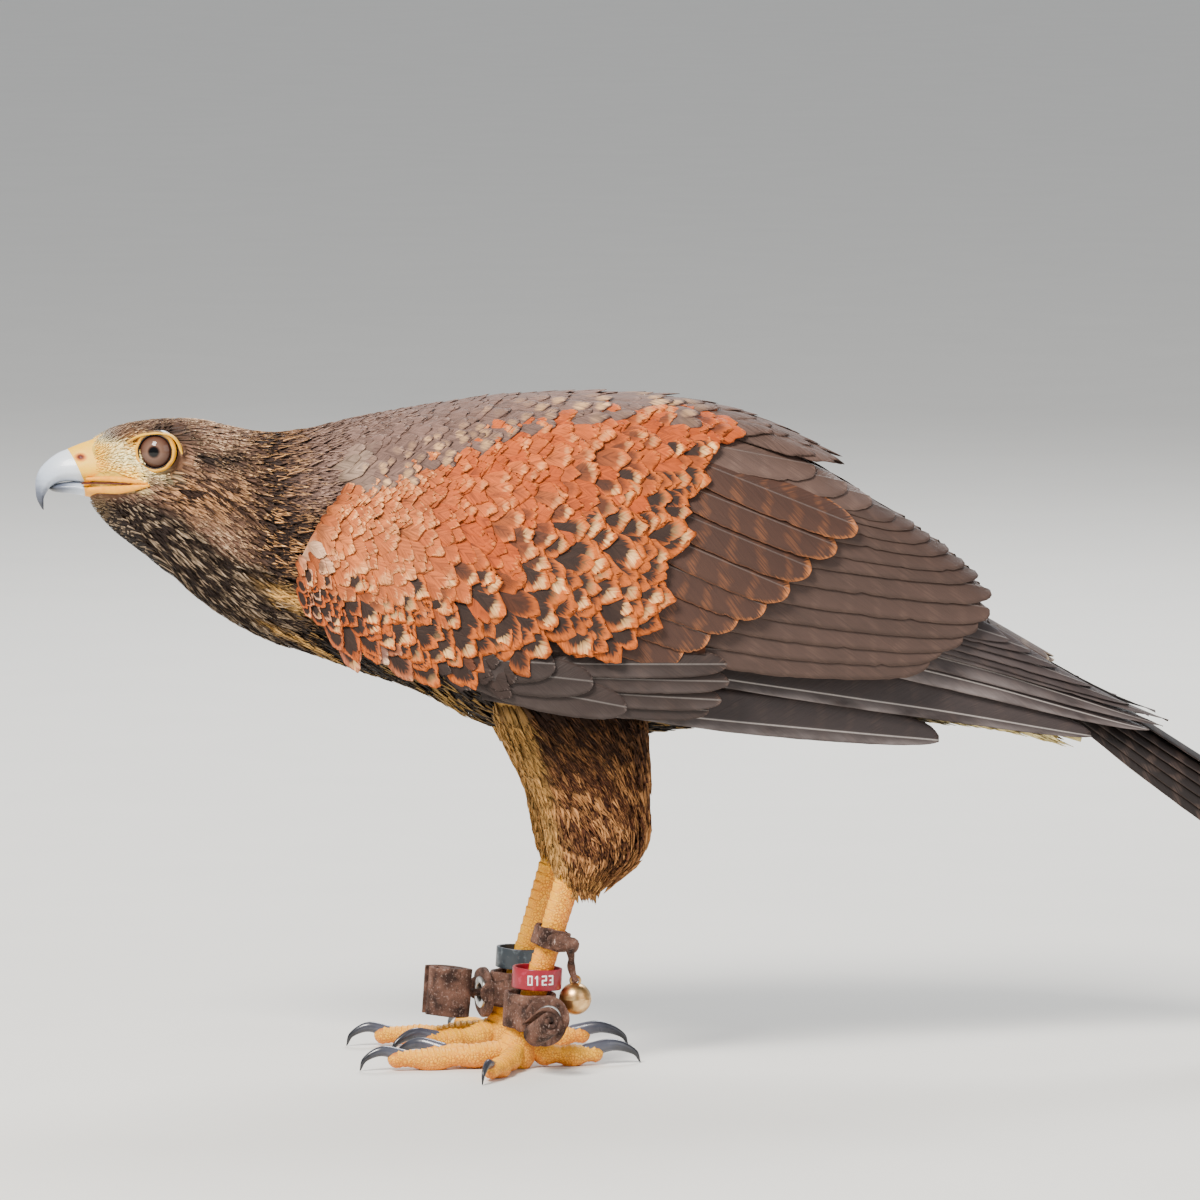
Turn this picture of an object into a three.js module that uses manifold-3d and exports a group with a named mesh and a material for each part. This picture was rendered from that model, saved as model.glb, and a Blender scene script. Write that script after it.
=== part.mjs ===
// A Harris's hawk in young plumage, life size, standing in a low forward crouch with its wings folded.
// It wears falconry anklets, a bell and two leg rings.
// Millimetres, +Z up, bill towards -X, left side towards -Y.
import * as THREE from "three";
import { mergeVertices } from "three/addons/utils/BufferGeometryUtils.js";
import Module from "manifold-3d";

const wasm = await Module();
wasm.setup();

// Driving sizes
const partGap = 0.3; // left between pieces that touch
const slack = 0.06; // how far a solid may be simplified
const floorZ = 0;
const vaneThickness = 0.6;
const eyeRadius = 8.6;
const eyePlace = { x: -178.6, y: 13.4, z: 248.6 };
const eyeForwardTurn = 0.3; // radians that each eye looks forward of sideways
const legSpread = 30; // each leg's distance from the middle plane
const tarsusTop = { x: -12.4, z: 88 };
const tarsusFoot = { x: -35.6, z: 11.2 };
const neckCutX = -150;
const shoulderCutX = -112;
const rumpCutX = 138;

// Plumage colours
const colour = {
  darkBrown: 0x43332c,
  headBrown: 0x57423a,
  chestnut: 0x8a4526,
  buff: 0xc9a172,
  vane: 0x4a3b35,
  legYellow: 0xe0a236,
  horn: 0x23242a,
  billGrey: 0x9aa3b2,
  cereYellow: 0xe6c247,
  eyeBrown: 0x3a2922,
  leather: 0x4c382f,
  ringRed: 0xa81c3a,
  ringDark: 0x30353a,
  brass: 0xa9803f,
  steel: 0xb8b8b4,
};

// Head, neck, torso and tail base in one row of sections:
// x, top z, bottom z, half width, how far down the widest place lies (0 top, 1 bottom), fullness
const bodyRows = [
  [-206, 250.5, 229, 7.4, 0.5, 2.2],
  [-202.7, 253.4, 224, 9.6, 0.44, 2.2],
  [-196.7, 256.6, 217.1, 13.4, 0.38, 2.2],
  [-188.6, 258.7, 210.5, 18.6, 0.34, 2.2],
  [-176.4, 260, 201, 23, 0.32, 2.2],
  [-162.2, 259.7, 187.9, 25.4, 0.33, 2.1],
  [-148, 256.6, 178, 27.5, 0.38, 2.1],
  [-133.8, 254.2, 170.6, 31, 0.42, 2.1],
  [-117.6, 255.5, 165.5, 35.5, 0.44, 2.1],
  [-97.3, 260, 158, 40.5, 0.45, 2.1],
  [-73, 263.8, 149.6, 45, 0.46, 2.1],
  [-48.7, 266.2, 137.2, 48, 0.48, 2.1],
  [-24.3, 266.6, 132.1, 49, 0.5, 2.1],
  [0, 265, 131, 48.5, 0.5, 2.1],
  [24.3, 261, 132.7, 46, 0.5, 2.1],
  [48.7, 253.5, 134.9, 42, 0.5, 2.1],
  [73, 238, 136.3, 37.5, 0.5, 2.1],
  [97.3, 220.5, 136.4, 31.5, 0.5, 2.1],
  [121.6, 201.5, 135.3, 25, 0.5, 2.1],
  [146, 181.5, 133.4, 18.5, 0.5, 2.1],
  [170.3, 162.5, 129.4, 13.5, 0.5, 2.1],
  [190, 147.5, 124.5, 9.5, 0.5, 2.1],
  [208, 133, 118.5, 5.5, 0.5, 2],
];

// The folded wing's outer surface: x, top z at the middle plane, lower edge z, half width
const wingRows = [
  [-128, 248, 190, 38],
  [-121.6, 251.5, 186.6, 44],
  [-112, 255.4, 181.5, 51.5],
  [-101.4, 259, 177.4, 57],
  [-81.1, 262.8, 169.3, 62.5],
  [-60.8, 265.9, 160.9, 66],
  [-40.5, 268.5, 153.6, 68],
  [-16.2, 269.4, 147.8, 69],
  [8.1, 268.8, 143.3, 68],
  [32.4, 266.9, 139.9, 65],
  [56.8, 260.9, 136.8, 61],
  [81.1, 250.5, 133.5, 55.5],
  [105.4, 236.5, 130.9, 50],
  [129.8, 220, 128.7, 43.5],
  [154.1, 200.5, 128.2, 40.5],
  [178.4, 180.5, 127.6, 39],
  [202.7, 165.5, 127, 37.5],
  [223, 156, 128, 36],
  [242, 148, 129, 34.5],
];
// Share of the quarter turn, from the back's middle to the wing's lower edge, where the arm starts and ends
const armStartRows = [
  [-124, 0.78],
  [-118, 0.64],
  [-108.6, 0.52],
  [-88, 0.42],
  [-63, 0.31],
  [-35, 0.2],
  [0, 0.14],
  [60, 0.13],
];
const armEndRows = [
  [-124, 1],
  [-97, 1],
  [-88, 0.985],
  [-63, 0.934],
  [-23, 0.884],
  [8, 0.861],
  [34, 0.848],
  [60, 0.84],
];

// Ridge of the tail's upper side, from the rump to the tip, and the radius of its arch there
const tailRidge = [
  [112, 198],
  [140, 184],
  [180, 161],
  [211, 142],
  [243, 121.4],
  [320, 72],
];
const tailArchRows = [
  [0, 10],
  [40, 13],
  [110, 19],
  [150, 23],
  [240, 28],
];

// Smooth interpolation of rows keyed by their first number, with tangents from the neighbours
function along(rows) {
  const columns = rows[0].length - 1;
  const slope = (i, c) => {
    const a = rows[Math.max(i - 1, 0)];
    const b = rows[Math.min(i + 1, rows.length - 1)];
    return (b[c + 1] - a[c + 1]) / (b[0] - a[0]);
  };
  return (x) => {
    let i = 0;
    while (i < rows.length - 2 && x > rows[i + 1][0]) i++;
    const a = rows[i];
    const b = rows[i + 1];
    const width = b[0] - a[0];
    const t = Math.min(Math.max((x - a[0]) / width, 0), 1);
    const values = [];
    for (let c = 0; c < columns; c++) {
      const h00 = (1 + 2 * t) * (1 - t) ** 2;
      const h10 = t * (1 - t) ** 2;
      const h01 = t * t * (3 - 2 * t);
      const h11 = t * t * (t - 1);
      const ends = h00 * a[c + 1] + h01 * b[c + 1];
      values.push(ends + width * (h10 * slope(i, c) + h11 * slope(i + 1, c)));
    }
    return values;
  };
}

const bodyAt = along(bodyRows);
const wingAt = along(wingRows);
const armStartAt = along(armStartRows);
const armEndAt = along(armEndRows);
const tailArchAt = along(tailArchRows);

const point = (x, y, z) => new THREE.Vector3(x, y, z);
const mix = (a, b, t) => a + (b - a) * t;
const steps = (from, to, count) =>
  Array.from({ length: count + 1 }, (_, i) => mix(from, to, i / count));

// Solids
function solidOf(geometry) {
  const bare = geometry.clone();
  bare.deleteAttribute("normal");
  bare.deleteAttribute("uv");
  const merged = mergeVertices(bare, 1e-4);
  const vertProperties = new Float32Array(merged.attributes.position.array);
  const triVerts = new Uint32Array(merged.index.array);
  let made = new wasm.Manifold(
    new wasm.Mesh({ numProp: 3, vertProperties, triVerts }),
  );
  if (made.volume() < 0) {
    for (let i = 0; i < triVerts.length; i += 3)
      [triVerts[i], triVerts[i + 1]] = [triVerts[i + 1], triVerts[i]];
    made = new wasm.Manifold(
      new wasm.Mesh({ numProp: 3, vertProperties, triVerts }),
    );
  }
  return made;
}

// A closed solid through rings of equally many points, with a flat fan over each end.
// With even set, the triangles of the two sides of the middle plane mirror each other.
function loft(rings, even = false) {
  const sides = rings[0].length;
  const positions = rings.flat().flatMap((p) => [p.x, p.y, p.z]);
  const index = [];
  for (let r = 0; r < rings.length - 1; r++)
    for (let s = 0; s < sides; s++) {
      const a = r * sides + s;
      const b = r * sides + ((s + 1) % sides);
      if (even && rings[r][s].y + rings[r][(s + 1) % sides].y < 0)
        index.push(a, b, a + sides, b, b + sides, a + sides);
      else index.push(a, b, b + sides, a, b + sides, a + sides);
    }
  const cap = (ring, first, flip) => {
    const middle = ring
      .reduce((sum, p) => sum.add(p), point(0, 0, 0))
      .divideScalar(sides);
    const centre = positions.length / 3;
    positions.push(middle.x, middle.y, middle.z);
    for (let s = 0; s < sides; s++) {
      const pair = [first + s, first + ((s + 1) % sides)];
      if (flip) pair.reverse();
      index.push(centre, pair[1], pair[0]);
    }
  };
  cap(rings[0], 0, false);
  cap(rings[rings.length - 1], (rings.length - 1) * sides, true);
  const geometry = new THREE.BufferGeometry();
  geometry.setAttribute(
    "position",
    new THREE.Float32BufferAttribute(positions, 3),
  );
  geometry.setIndex(index);
  return solidOf(geometry);
}

// A thin closed plate between two grids of points, with its triangles alike on both faces
function plate(outer, inner) {
  const rows = outer.length;
  const columns = outer[0].length;
  const positions = [outer, inner].flatMap((grid) =>
    grid.flat().flatMap((p) => [p.x, p.y, p.z]),
  );
  const below = rows * columns;
  const index = [];
  const at = (r, c) => r * columns + c;
  const quad = (a, b, c, d) => index.push(a, b, c, a, c, d);
  for (let r = 0; r < rows - 1; r++)
    for (let c = 0; c < columns - 1; c++) {
      const q = [at(r, c), at(r, c + 1), at(r + 1, c + 1), at(r + 1, c)];
      quad(...q);
      index.push(q[0] + below, q[2] + below, q[1] + below);
      index.push(q[0] + below, q[3] + below, q[2] + below);
    }
  const edge = [];
  for (let c = 0; c < columns - 1; c++) edge.push(at(0, c));
  for (let r = 0; r < rows - 1; r++) edge.push(at(r, columns - 1));
  for (let c = columns - 1; c > 0; c--) edge.push(at(rows - 1, c));
  for (let r = rows - 1; r > 0; r--) edge.push(at(r, 0));
  edge.forEach((a, i) => {
    const b = edge[(i + 1) % edge.length];
    quad(b, a, a + below, b + below);
  });
  const geometry = new THREE.BufferGeometry();
  geometry.setAttribute(
    "position",
    new THREE.Float32BufferAttribute(positions, 3),
  );
  geometry.setIndex(index);
  return solidOf(geometry);
}

// A round bar along a smooth path; sizes are rows of share along the path, half width, half height
function bar(path, sizes, sides, segments, up = point(0, 0, 1)) {
  const curve = new THREE.CatmullRomCurve3(path, false, "centripetal");
  const sizeAt = along(sizes);
  const rings = steps(0, 1, segments).map((t) => {
    const centre = curve.getPointAt(t);
    const ahead = curve.getTangentAt(t);
    const across = new THREE.Vector3().crossVectors(ahead, up).normalize();
    const over = new THREE.Vector3().crossVectors(across, ahead);
    const [halfWidth, halfHeight] = sizeAt(t);
    return steps(0, 2 * Math.PI, sides)
      .slice(0, sides)
      .map((turn) =>
        centre
          .clone()
          .addScaledVector(across, halfWidth * Math.cos(turn))
          .addScaledVector(over, halfHeight * Math.sin(turn)),
      );
  });
  return loft(rings);
}

function placed(geometry, position, axis = point(0, 0, 1), from = point(0, 1, 0)) {
  const turn = new THREE.Quaternion().setFromUnitVectors(
    from,
    axis.clone().normalize(),
  );
  return solidOf(
    geometry.applyQuaternion(turn).translate(position.x, position.y, position.z),
  );
}

const joined = (solids) => wasm.Manifold.union(solids);
const largest = (solid) =>
  solid
    .simplify(slack)
    .decompose()
    .sort((a, b) => b.volume() - a.volume())[0];
const mirrored = (solid) => solid.mirror([0, 1, 0]);
const boxSolid = (sizeX, sizeY, sizeZ, centre) =>
  solidOf(
    new THREE.BoxGeometry(sizeX, sizeY, sizeZ).translate(
      centre.x,
      centre.y,
      centre.z,
    ),
  );
const belowFloor = boxSolid(900, 900, 60, point(0, 0, floorZ - 30));

// Body
const bodySides = 18;

function bodyRing(x, grow = 0) {
  const [top, bottom, halfWidth, widest, fullness] = bodyAt(x);
  const middle = mix(top, bottom, widest);
  const power = 2 / fullness;
  return steps(0, 2 * Math.PI, bodySides)
    .slice(0, bodySides)
    .map((turn) => {
      const c = Math.cos(turn);
      const s = Math.sin(turn);
      const reach = s > 0 ? top + grow - middle : middle - bottom + grow;
      return point(
        x,
        (halfWidth + grow) * Math.sign(c) * Math.abs(c) ** power,
        middle + reach * Math.sign(s) * Math.abs(s) ** power,
      );
    });
}

// Half width of the body at a height
function bodySide(x, z) {
  const [top, bottom, halfWidth, widest, fullness] = bodyAt(x);
  const middle = mix(top, bottom, widest);
  const reach = z > middle ? top - middle : middle - bottom;
  const rise = Math.min(Math.abs(z - middle) / reach, 1);
  return halfWidth * (1 - rise ** fullness) ** (1 / fullness);
}

const bodyStations = [
  ...steps(-206, -160, 6),
  ...steps(-144, 178, 13),
  188,
];
const bodySolid = (grow) =>
  loft(
    bodyStations.map((x, i) => {
      const atEnd = i === 0 ? -grow : i === bodyStations.length - 1 ? grow : 0;
      return bodyRing(x, grow).map((p) => p.setX(p.x + atEnd));
    }),
    true,
  );
const body = bodySolid(0);
const bodyGrown = bodySolid(partGap);

// The part of a solid between two cuts that lean with the bird's axis; lean is the cut's slope, x per z
function between(solid, fromX, toX, lean) {
  const size = 420;
  const slab = new THREE.BoxGeometry(toX - fromX, size, size).translate(
    (fromX + toX) / 2,
    0,
    0,
  );
  const shear = new THREE.Matrix4().set(
    1, 0, lean, 0,
    0, 1, 0, 0,
    0, 0, 1, 215,
    0, 0, 0, 1,
  );
  return solid.intersect(solidOf(slab.applyMatrix4(shear)));
}

// Folded wing surface
const quarterTurn = Math.PI / 2;

// The wings' upper edges part from the middle plane over the rump
const wingParting = (x) => 7 * THREE.MathUtils.smoothstep(x, 10, 100);

// A point of the wing's surface at share a of the quarter turn, sunk by a depth
function wingPoint(x, a, depth) {
  const [top, bottom, fullWidth] = wingAt(x);
  const parting = wingParting(x);
  const halfWidth = fullWidth - parting;
  const height = top - bottom;
  const turn = a * quarterTurn;
  const normal = new THREE.Vector2(
    Math.sin(turn) / halfWidth,
    Math.cos(turn) / height,
  ).normalize();
  const y = parting + halfWidth * Math.sin(turn) - normal.x * depth;
  const z = bottom + height * Math.cos(turn) - normal.y * depth;
  return point(x, -y, z);
}

function wingShare(x, z) {
  const [top, bottom] = wingAt(x);
  const rise = Math.min(Math.max((z - bottom) / (top - bottom), -0.99), 0.9999);
  return Math.acos(rise) / quarterTurn;
}

// Millimetres round the section for each unit of share
function wingStretch(x, a) {
  const [top, bottom, fullWidth] = wingAt(x);
  const turn = a * quarterTurn;
  const halfWidth = fullWidth - wingParting(x);
  return (
    quarterTurn * Math.hypot(halfWidth * Math.cos(turn), (top - bottom) * Math.sin(turn))
  );
}

// Width of a feather along its length, as a share of its full width
const featherForms = {
  pointed: [
    [0, 0.45],
    [0.25, 0.8],
    [0.5, 1],
    [0.84, 0.76],
    [1, 0.18],
  ],
  rounded: [
    [0, 0.5],
    [0.45, 1],
    [0.84, 0.88],
    [1, 0.36],
  ],
};

const wingSurface = { at: wingPoint, stretch: wingStretch, share: wingShare };

// One vane, straight in side view from root to tip, both [x, z], on a surface that gives points, the
// millimetres per share and the share of a height. Its upper edge dips under the neighbour's lower edge.
function vane(feather, surface) {
  const { root, tip, width, depth, rootDepth, tilt = 0.8, settle = 0.3 } = feather;
  const { form = "rounded", grow = 0 } = feather;
  const widthAt = along(featherForms[form]);
  const spotAt = (s) => {
    const x = mix(root[0], tip[0], s);
    return [x, surface.share(x, mix(root[1], tip[1], s))];
  };
  const sections = featherForms[form].map(([s]) => {
    const [x, a] = spotAt(s);
    const [behindX, behindA] = spotAt(s - 0.05);
    const [aheadX, aheadA] = spotAt(s + 0.05);
    const scale = surface.stretch(x, a);
    const run = new THREE.Vector2(aheadX - behindX, (aheadA - behindA) * scale).normalize();
    const half = (width / 2) * widthAt(s)[0] + grow;
    const sink = mix(rootDepth, depth, Math.min(s / settle, 1)) - grow;
    return { s, x, a, scale, run, half, sink };
  });
  const grids = [0, 1].map((face) =>
    sections.map(({ s, x, a, scale, run, half, sink }) =>
      [-1, 0, 1].map((side) => {
        const crown = side === 0 ? 0.25 : 0;
        const thickness = vaneThickness * (s === 1 ? 0.7 : 1) + crown + 2 * grow;
        return surface.at(
          x - run.y * half * side + (s === 1 ? grow : 0),
          a + (run.x * half * side) / scale,
          sink - side * tilt - crown + face * thickness,
        );
      }),
    ),
  );
  return plate(grids[0], grids[1]);
}

// A row of feathers whose roots and tips run evenly between named ends, given as [x, z] on the wing.
// Each lies a step deeper than the one before it, which it tucks under.
function featherRow({ count, roots, tips, widths, depth, rootDepth, step = 0, ...rest }) {
  return Array.from({ length: count }, (_, i) => {
    const t = count === 1 ? 0 : i / (count - 1);
    const placeOn = (ends) =>
      new THREE.SplineCurve(ends.map((e) => new THREE.Vector2(...e))).getPoint(t).toArray();
    return {
      root: placeOn(roots),
      tip: placeOn(tips),
      width: mix(widths[0], widths[1], t),
      depth: depth + step * i,
      rootDepth: rootDepth + step * i,
      ...rest,
    };
  });
}

// Layers from the outside in, as depths under the wing's surface
const depthOf = { greater: 2.2, secondary: 5.2, hand: 2.2, primary: 11 };

const secondaries = featherRow({
  count: 9,
  roots: [[20, 238], [24, 215], [26, 195], [26, 180]],
  tips: [[117.7, 226], [140, 212], [156.6, 192], [146, 178], [129.4, 166]],
  widths: [20, 18],
  depth: depthOf.secondary,
  rootDepth: depthOf.secondary + 0.5,
  step: 0.35,
  tilt: 1.2,
});
const tertials = featherRow({
  count: 2,
  roots: [[8, 256], [14, 247]],
  tips: [[84, 243], [106, 232]],
  widths: [20, 22],
  depth: depthOf.secondary - 1.8,
  rootDepth: 4.6,
  step: 1,
  tilt: 0.6,
});
const greaterCoverts = featherRow({
  count: 7,
  roots: [[8, 236], [10, 222], [4, 199], [-16, 178]],
  tips: [[100, 219], [88.2, 209], [69, 194], [29.9, 177]],
  widths: [19, 16],
  depth: depthOf.greater,
  rootDepth: 5,
  step: 0.35,
  tilt: 1,
});
const primaryCoverts = featherRow({
  count: 4,
  roots: [[-14, 165], [-20, 158], [-26, 153]],
  tips: [[46, 165], [45, 156], [37, 147.5]],
  widths: [12, 11],
  depth: depthOf.hand + 1.6,
  rootDepth: 5.6,
  step: 0.8,
});
const alulaFeathers = featherRow({
  count: 3,
  roots: [[-66, 168], [-62, 163]],
  tips: [[-22, 167], [-8.4, 160], [3.8, 149.5]],
  widths: [12, 14],
  depth: depthOf.hand - 1.6,
  rootDepth: 4,
  step: 0.8,
});
const primaryTips = [
  [163.5, 175], [172.7, 171.5], [183.8, 166], [198, 159], [213.4, 152.5],
  [229.5, 147.5], [227, 142.5], [221.2, 137.5], [197.2, 131.5], [134.9, 129.5],
];
const primaries = featherRow({
  count: primaryTips.length,
  roots: [[0, 160], [-4, 155], [-8, 151]],
  tips: primaryTips,
  widths: [15, 14],
  depth: depthOf.primary,
  rootDepth: depthOf.primary,
  form: "pointed",
  tilt: 1.1,
  settle: 1,
}).map((feather, i) => {
  const [x, z] = primaryTips[i];
  return {
    ...feather,
    tip: [x, z],
    rootDepth: depthOf.primary + 0.95 * i,
    depth: depthOf.primary + mix(0.95, 0.72, x / 220) * i + (i === 9 ? 1.2 : 0),
  };
});
const scapulars = featherRow({
  count: 3,
  roots: [[-80, 257.5], [-55, 263.5], [-28, 267]],
  tips: [[-34, 254], [6, 257], [46, 256]],
  widths: [20, 22],
  depth: -3.4,
  rootDepth: 5,
  step: -0.2,
  tilt: 0.9,
});

const onWing = (feather) => vane(feather, wingSurface);

// A core under the feathers: a slab between two depths, from one share to another, along x
function wingCore({ stations, startAt, endAt, outer, inner, count, grow = 0 }) {
  return loft(
    stations.map((x, i) => {
      const shares = steps(startAt(x), endAt(x), count);
      const last = i === stations.length - 1;
      const shiftX = (i === 0 ? -grow : 0) + (last ? grow : 0);
      const spread = grow / wingStretch(x, 0.5);
      const shareOf = (a, k) => a + (k === 0 ? -spread : k === count ? spread : 0);
      const pointAt = (a, k, depth) => {
        const p = wingPoint(x, shareOf(a, k), depth);
        return p.setX(x + shiftX);
      };
      return [
        ...shares.map((a, k) => pointAt(a, k, outer(x) - grow)),
        ...shares.map((a, k) => pointAt(a, k, inner(x) + grow)).reverse(),
      ];
    }),
  );
}

const armCore = (grow) =>
  wingCore({
    stations: [-126, -122, -114, ...steps(-102, 40, 6)],
    startAt: (x) => armStartAt(x)[0],
    endAt: (x) => armEndAt(x)[0] - 0.012,
    outer: (x) => mix(0.4, 3.4, THREE.MathUtils.smoothstep(x, -70, 20)),
    inner: (x) => mix(16, 10.6, THREE.MathUtils.smoothstep(x, 0, 40)),
    count: 8,
    grow,
  });
const handCore = wingCore({
  stations: [-92, ...steps(-80, 6, 5)],
  startAt: (x) => armEndAt(x)[0],
  endAt: () => 1.01,
  outer: (x) => mix(1, 5.2, THREE.MathUtils.smoothstep(x, -70, -10)),
  inner: (x) => mix(9, 21, THREE.MathUtils.smoothstep(x, -92, -20)),
  count: 3,
});
const armFeathers = [...secondaries, ...tertials, ...greaterCoverts];
const handFeathers = [...primaries, ...primaryCoverts, ...alulaFeathers];
const scapularRoom = joined(
  scapulars.map((feather) => onWing({ ...feather, grow: partGap })),
);
const wingArm = largest(
  joined([armCore(0), ...armFeathers.map(onWing)])
    .subtract(bodyGrown)
    .subtract(scapularRoom),
);
const wingHand = largest(
  joined([handCore, ...handFeathers.map(onWing)])
    .subtract(armCore(partGap))
    .subtract(bodyGrown),
);

// Tail
const tailCurve = new THREE.SplineCurve(
  tailRidge.map(([x, z]) => new THREE.Vector2(x, z)),
);
const tailTotal = tailCurve.getLength();

// A point of the tail's arch at distance s along the ridge and angle turn from the top, sunk by a depth
function tailPoint(s, turn, depth) {
  const t = Math.min(s / tailTotal, 1);
  const ridge = tailCurve.getPointAt(t);
  const ahead = tailCurve.getTangentAt(t);
  const beyond = Math.max(s - tailTotal, 0);
  const radius = tailArchAt(Math.min(s, tailTotal))[0];
  const drop = radius - (radius - depth) * Math.cos(turn);
  return point(
    ridge.x + ahead.x * beyond + ahead.y * drop,
    (radius - depth) * Math.sin(turn),
    ridge.y + ahead.y * beyond - ahead.x * drop,
  );
}
const tailSurface = {
  at: tailPoint,
  stretch: (s) => tailArchAt(s)[0],
  share: (s, turn) => turn,
};

const rectrixPairs = 6;
const rectrices = [-1, 1].flatMap((side) =>
  Array.from({ length: rectrixPairs }, (_, i) => {
    const turn = 0.16 + i * 0.215;
    const layer = i === 0 ? (side + 1) / 2 : i + 1;
    return {
      root: [50 + i * 1.5, side * turn * 0.9],
      tip: [tailTotal - i * 2.2, side * turn],
      width: 13.5,
      depth: 0.3 + layer,
      rootDepth: 1.6 + layer * 0.9,
      tilt: side * 0.3,
      form: "rectrix",
    };
  }),
);
featherForms.rectrix = [
  [0, 0.5],
  [0.5, 0.95],
  [0.94, 1],
  [1, 0.6],
];
const upperTailCoverts = [-0.75, -0.25, 0.25, 0.75].map((turn, i) => ({
  root: [38, turn * 0.9],
  tip: [84 - Math.abs(turn) * 10, turn],
  width: 12,
  depth: -1.3 - (i % 2) * 1.3,
  rootDepth: 3 - (i % 2) * 1.3,
  tilt: 0,
}));
const tailCore = between(body, rumpCutX + partGap, 400, -0.35);
const tail = largest(
  joined([
    tailCore,
    ...[...rectrices, ...upperTailCoverts].map((feather) =>
      vane(feather, tailSurface),
    ),
  ]).subtract(between(bodyGrown, -400, rumpCutX, -0.35).translate([partGap, 0, 0])),
);

// Head
const eyeAxis = point(-Math.sin(eyeForwardTurn), -Math.cos(eyeForwardTurn), 0.03).normalize();
const eyeCentre = point(eyePlace.x, -eyePlace.y, eyePlace.z);
const alongEye = (distance) => eyeCentre.clone().addScaledVector(eyeAxis, distance);
const socketRadius = eyeRadius + 0.7;

const eyeball = placed(new THREE.SphereGeometry(eyeRadius, 14, 8), eyeCentre, eyeAxis);
const eyeSocket = placed(
  new THREE.CylinderGeometry(socketRadius, socketRadius, 30, 18),
  alongEye(15 - eyeRadius - partGap),
  eyeAxis,
);
// The two lids close to a ring round the eye; radius and height over the eyeball's centre
const lidProfile = [
  [6.3, 6.35], [7.7, 4.6], [8.8, 3.4], [8.9, 6.4], [8.1, 7.5], [6.9, 7.3], [6.3, 6.35],
].map(([r, h]) => new THREE.Vector2(r, h));
const eyelids = placed(new THREE.LatheGeometry(lidProfile, 16), eyeCentre, eyeAxis);

// The bony brow that shades the eye
const browRidge = bar(
  [
    point(-193, -bodySide(-193, 252) + 1, 251.5),
    point(-184, -bodySide(-184, 255) - 0.2, 255.3),
    point(-175, -bodySide(-175, 256.3) - 0.8, 256.6),
    point(-164, -bodySide(-164, 256) + 1.5, 255.6),
  ],
  [
    [0, 0.8, 0.7],
    [0.45, 2.6, 1.5],
    [0.75, 2.4, 1.5],
    [1, 0.8, 0.7],
  ],
  6,
  5,
);

// Upper bill and cere: top and bottom edge in side view and half width, from inside the head to the tip
const upperBillRows = [
  [-196, 255.4, -194.5, 234.6, 10.6],
  [-201.1, 254, -199.5, 234.2, 9.8],
  [-204.8, 252, -203.6, 234.6, 8.8],
  [-209.2, 250.5, -208.4, 235, 8],
  [-213.7, 248.7, -212.5, 235.5, 7.1],
  [-218.2, 246.9, -215.7, 235.5, 6.1],
  [-222.2, 244.1, -218.6, 234.7, 5.1],
  [-225.5, 240.5, -221, 233.2, 4.1],
  [-227.1, 236.5, -222.6, 231.2, 3.1],
  [-227.3, 232.4, -223.8, 228.9, 2.2],
  [-226.7, 228.3, -224, 226.3, 1.3],
  [-224.8, 224.6, -224, 224, 0.4],
];
const lowerBillRows = [
  [-193, 234, -192, 225, 9.6],
  [-197.9, 233.9, -197.1, 226, 9],
  [-204.8, 234.2, -206, 228.2, 7.7],
  [-210.9, 234.4, -211.7, 229.4, 6.3],
  [-216.5, 233.9, -217.3, 230.3, 4.9],
  [-220, 232.9, -220.4, 231, 3.4],
  [-221.3, 232.3, -221.5, 231.4, 1.6],
];
const billSides = 12;

// Rings that are narrow at the ridge and wide at the cutting edge
function billRings(rows, ridgeUp) {
  return rows.map(([topX, topZ, bottomX, bottomZ, halfWidth]) =>
    steps(0, 2 * Math.PI, billSides)
      .slice(0, billSides)
      .map((turn) => {
        const height = (1 + Math.sin(turn)) / 2;
        const open = ridgeUp ? 1 - height : height;
        const fullness = Math.min(1.06, 0.55 + 0.75 * open);
        return point(
          mix(bottomX, topX, height),
          halfWidth * Math.cos(turn) * fullness,
          mix(bottomZ, topZ, height),
        );
      }),
  );
}

const upperBillWhole = loft(billRings(upperBillRows, true));
const lowerBillWhole = loft(billRings(lowerBillRows, false));

// Bare yellow skin along the mouth; the line of the mouth runs between the two lips
function lip(z, back, halfHeight) {
  const line = steps(-208, back, 5).map((x) => point(x, -bodySide(Math.max(x, -203), z) - 0.2, z));
  line[0].y = -7.2;
  return bar(line, [[0, 1, 0.8], [0.3, 1.7, halfHeight], [0.8, 1.5, halfHeight], [1, 0.6, 0.5]], 6, 5);
}
const upperLip = lip(237.4, -183.4, 1.5);
const lowerLip = lip(233.2, -184.6, 1.5);
const nostril = placed(
  new THREE.SphereGeometry(1, 10, 6).scale(1.9, 3.2, 1.15),
  point(-209.7, -7.6, 245.8),
  point(0, 1, 0),
);

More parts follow.
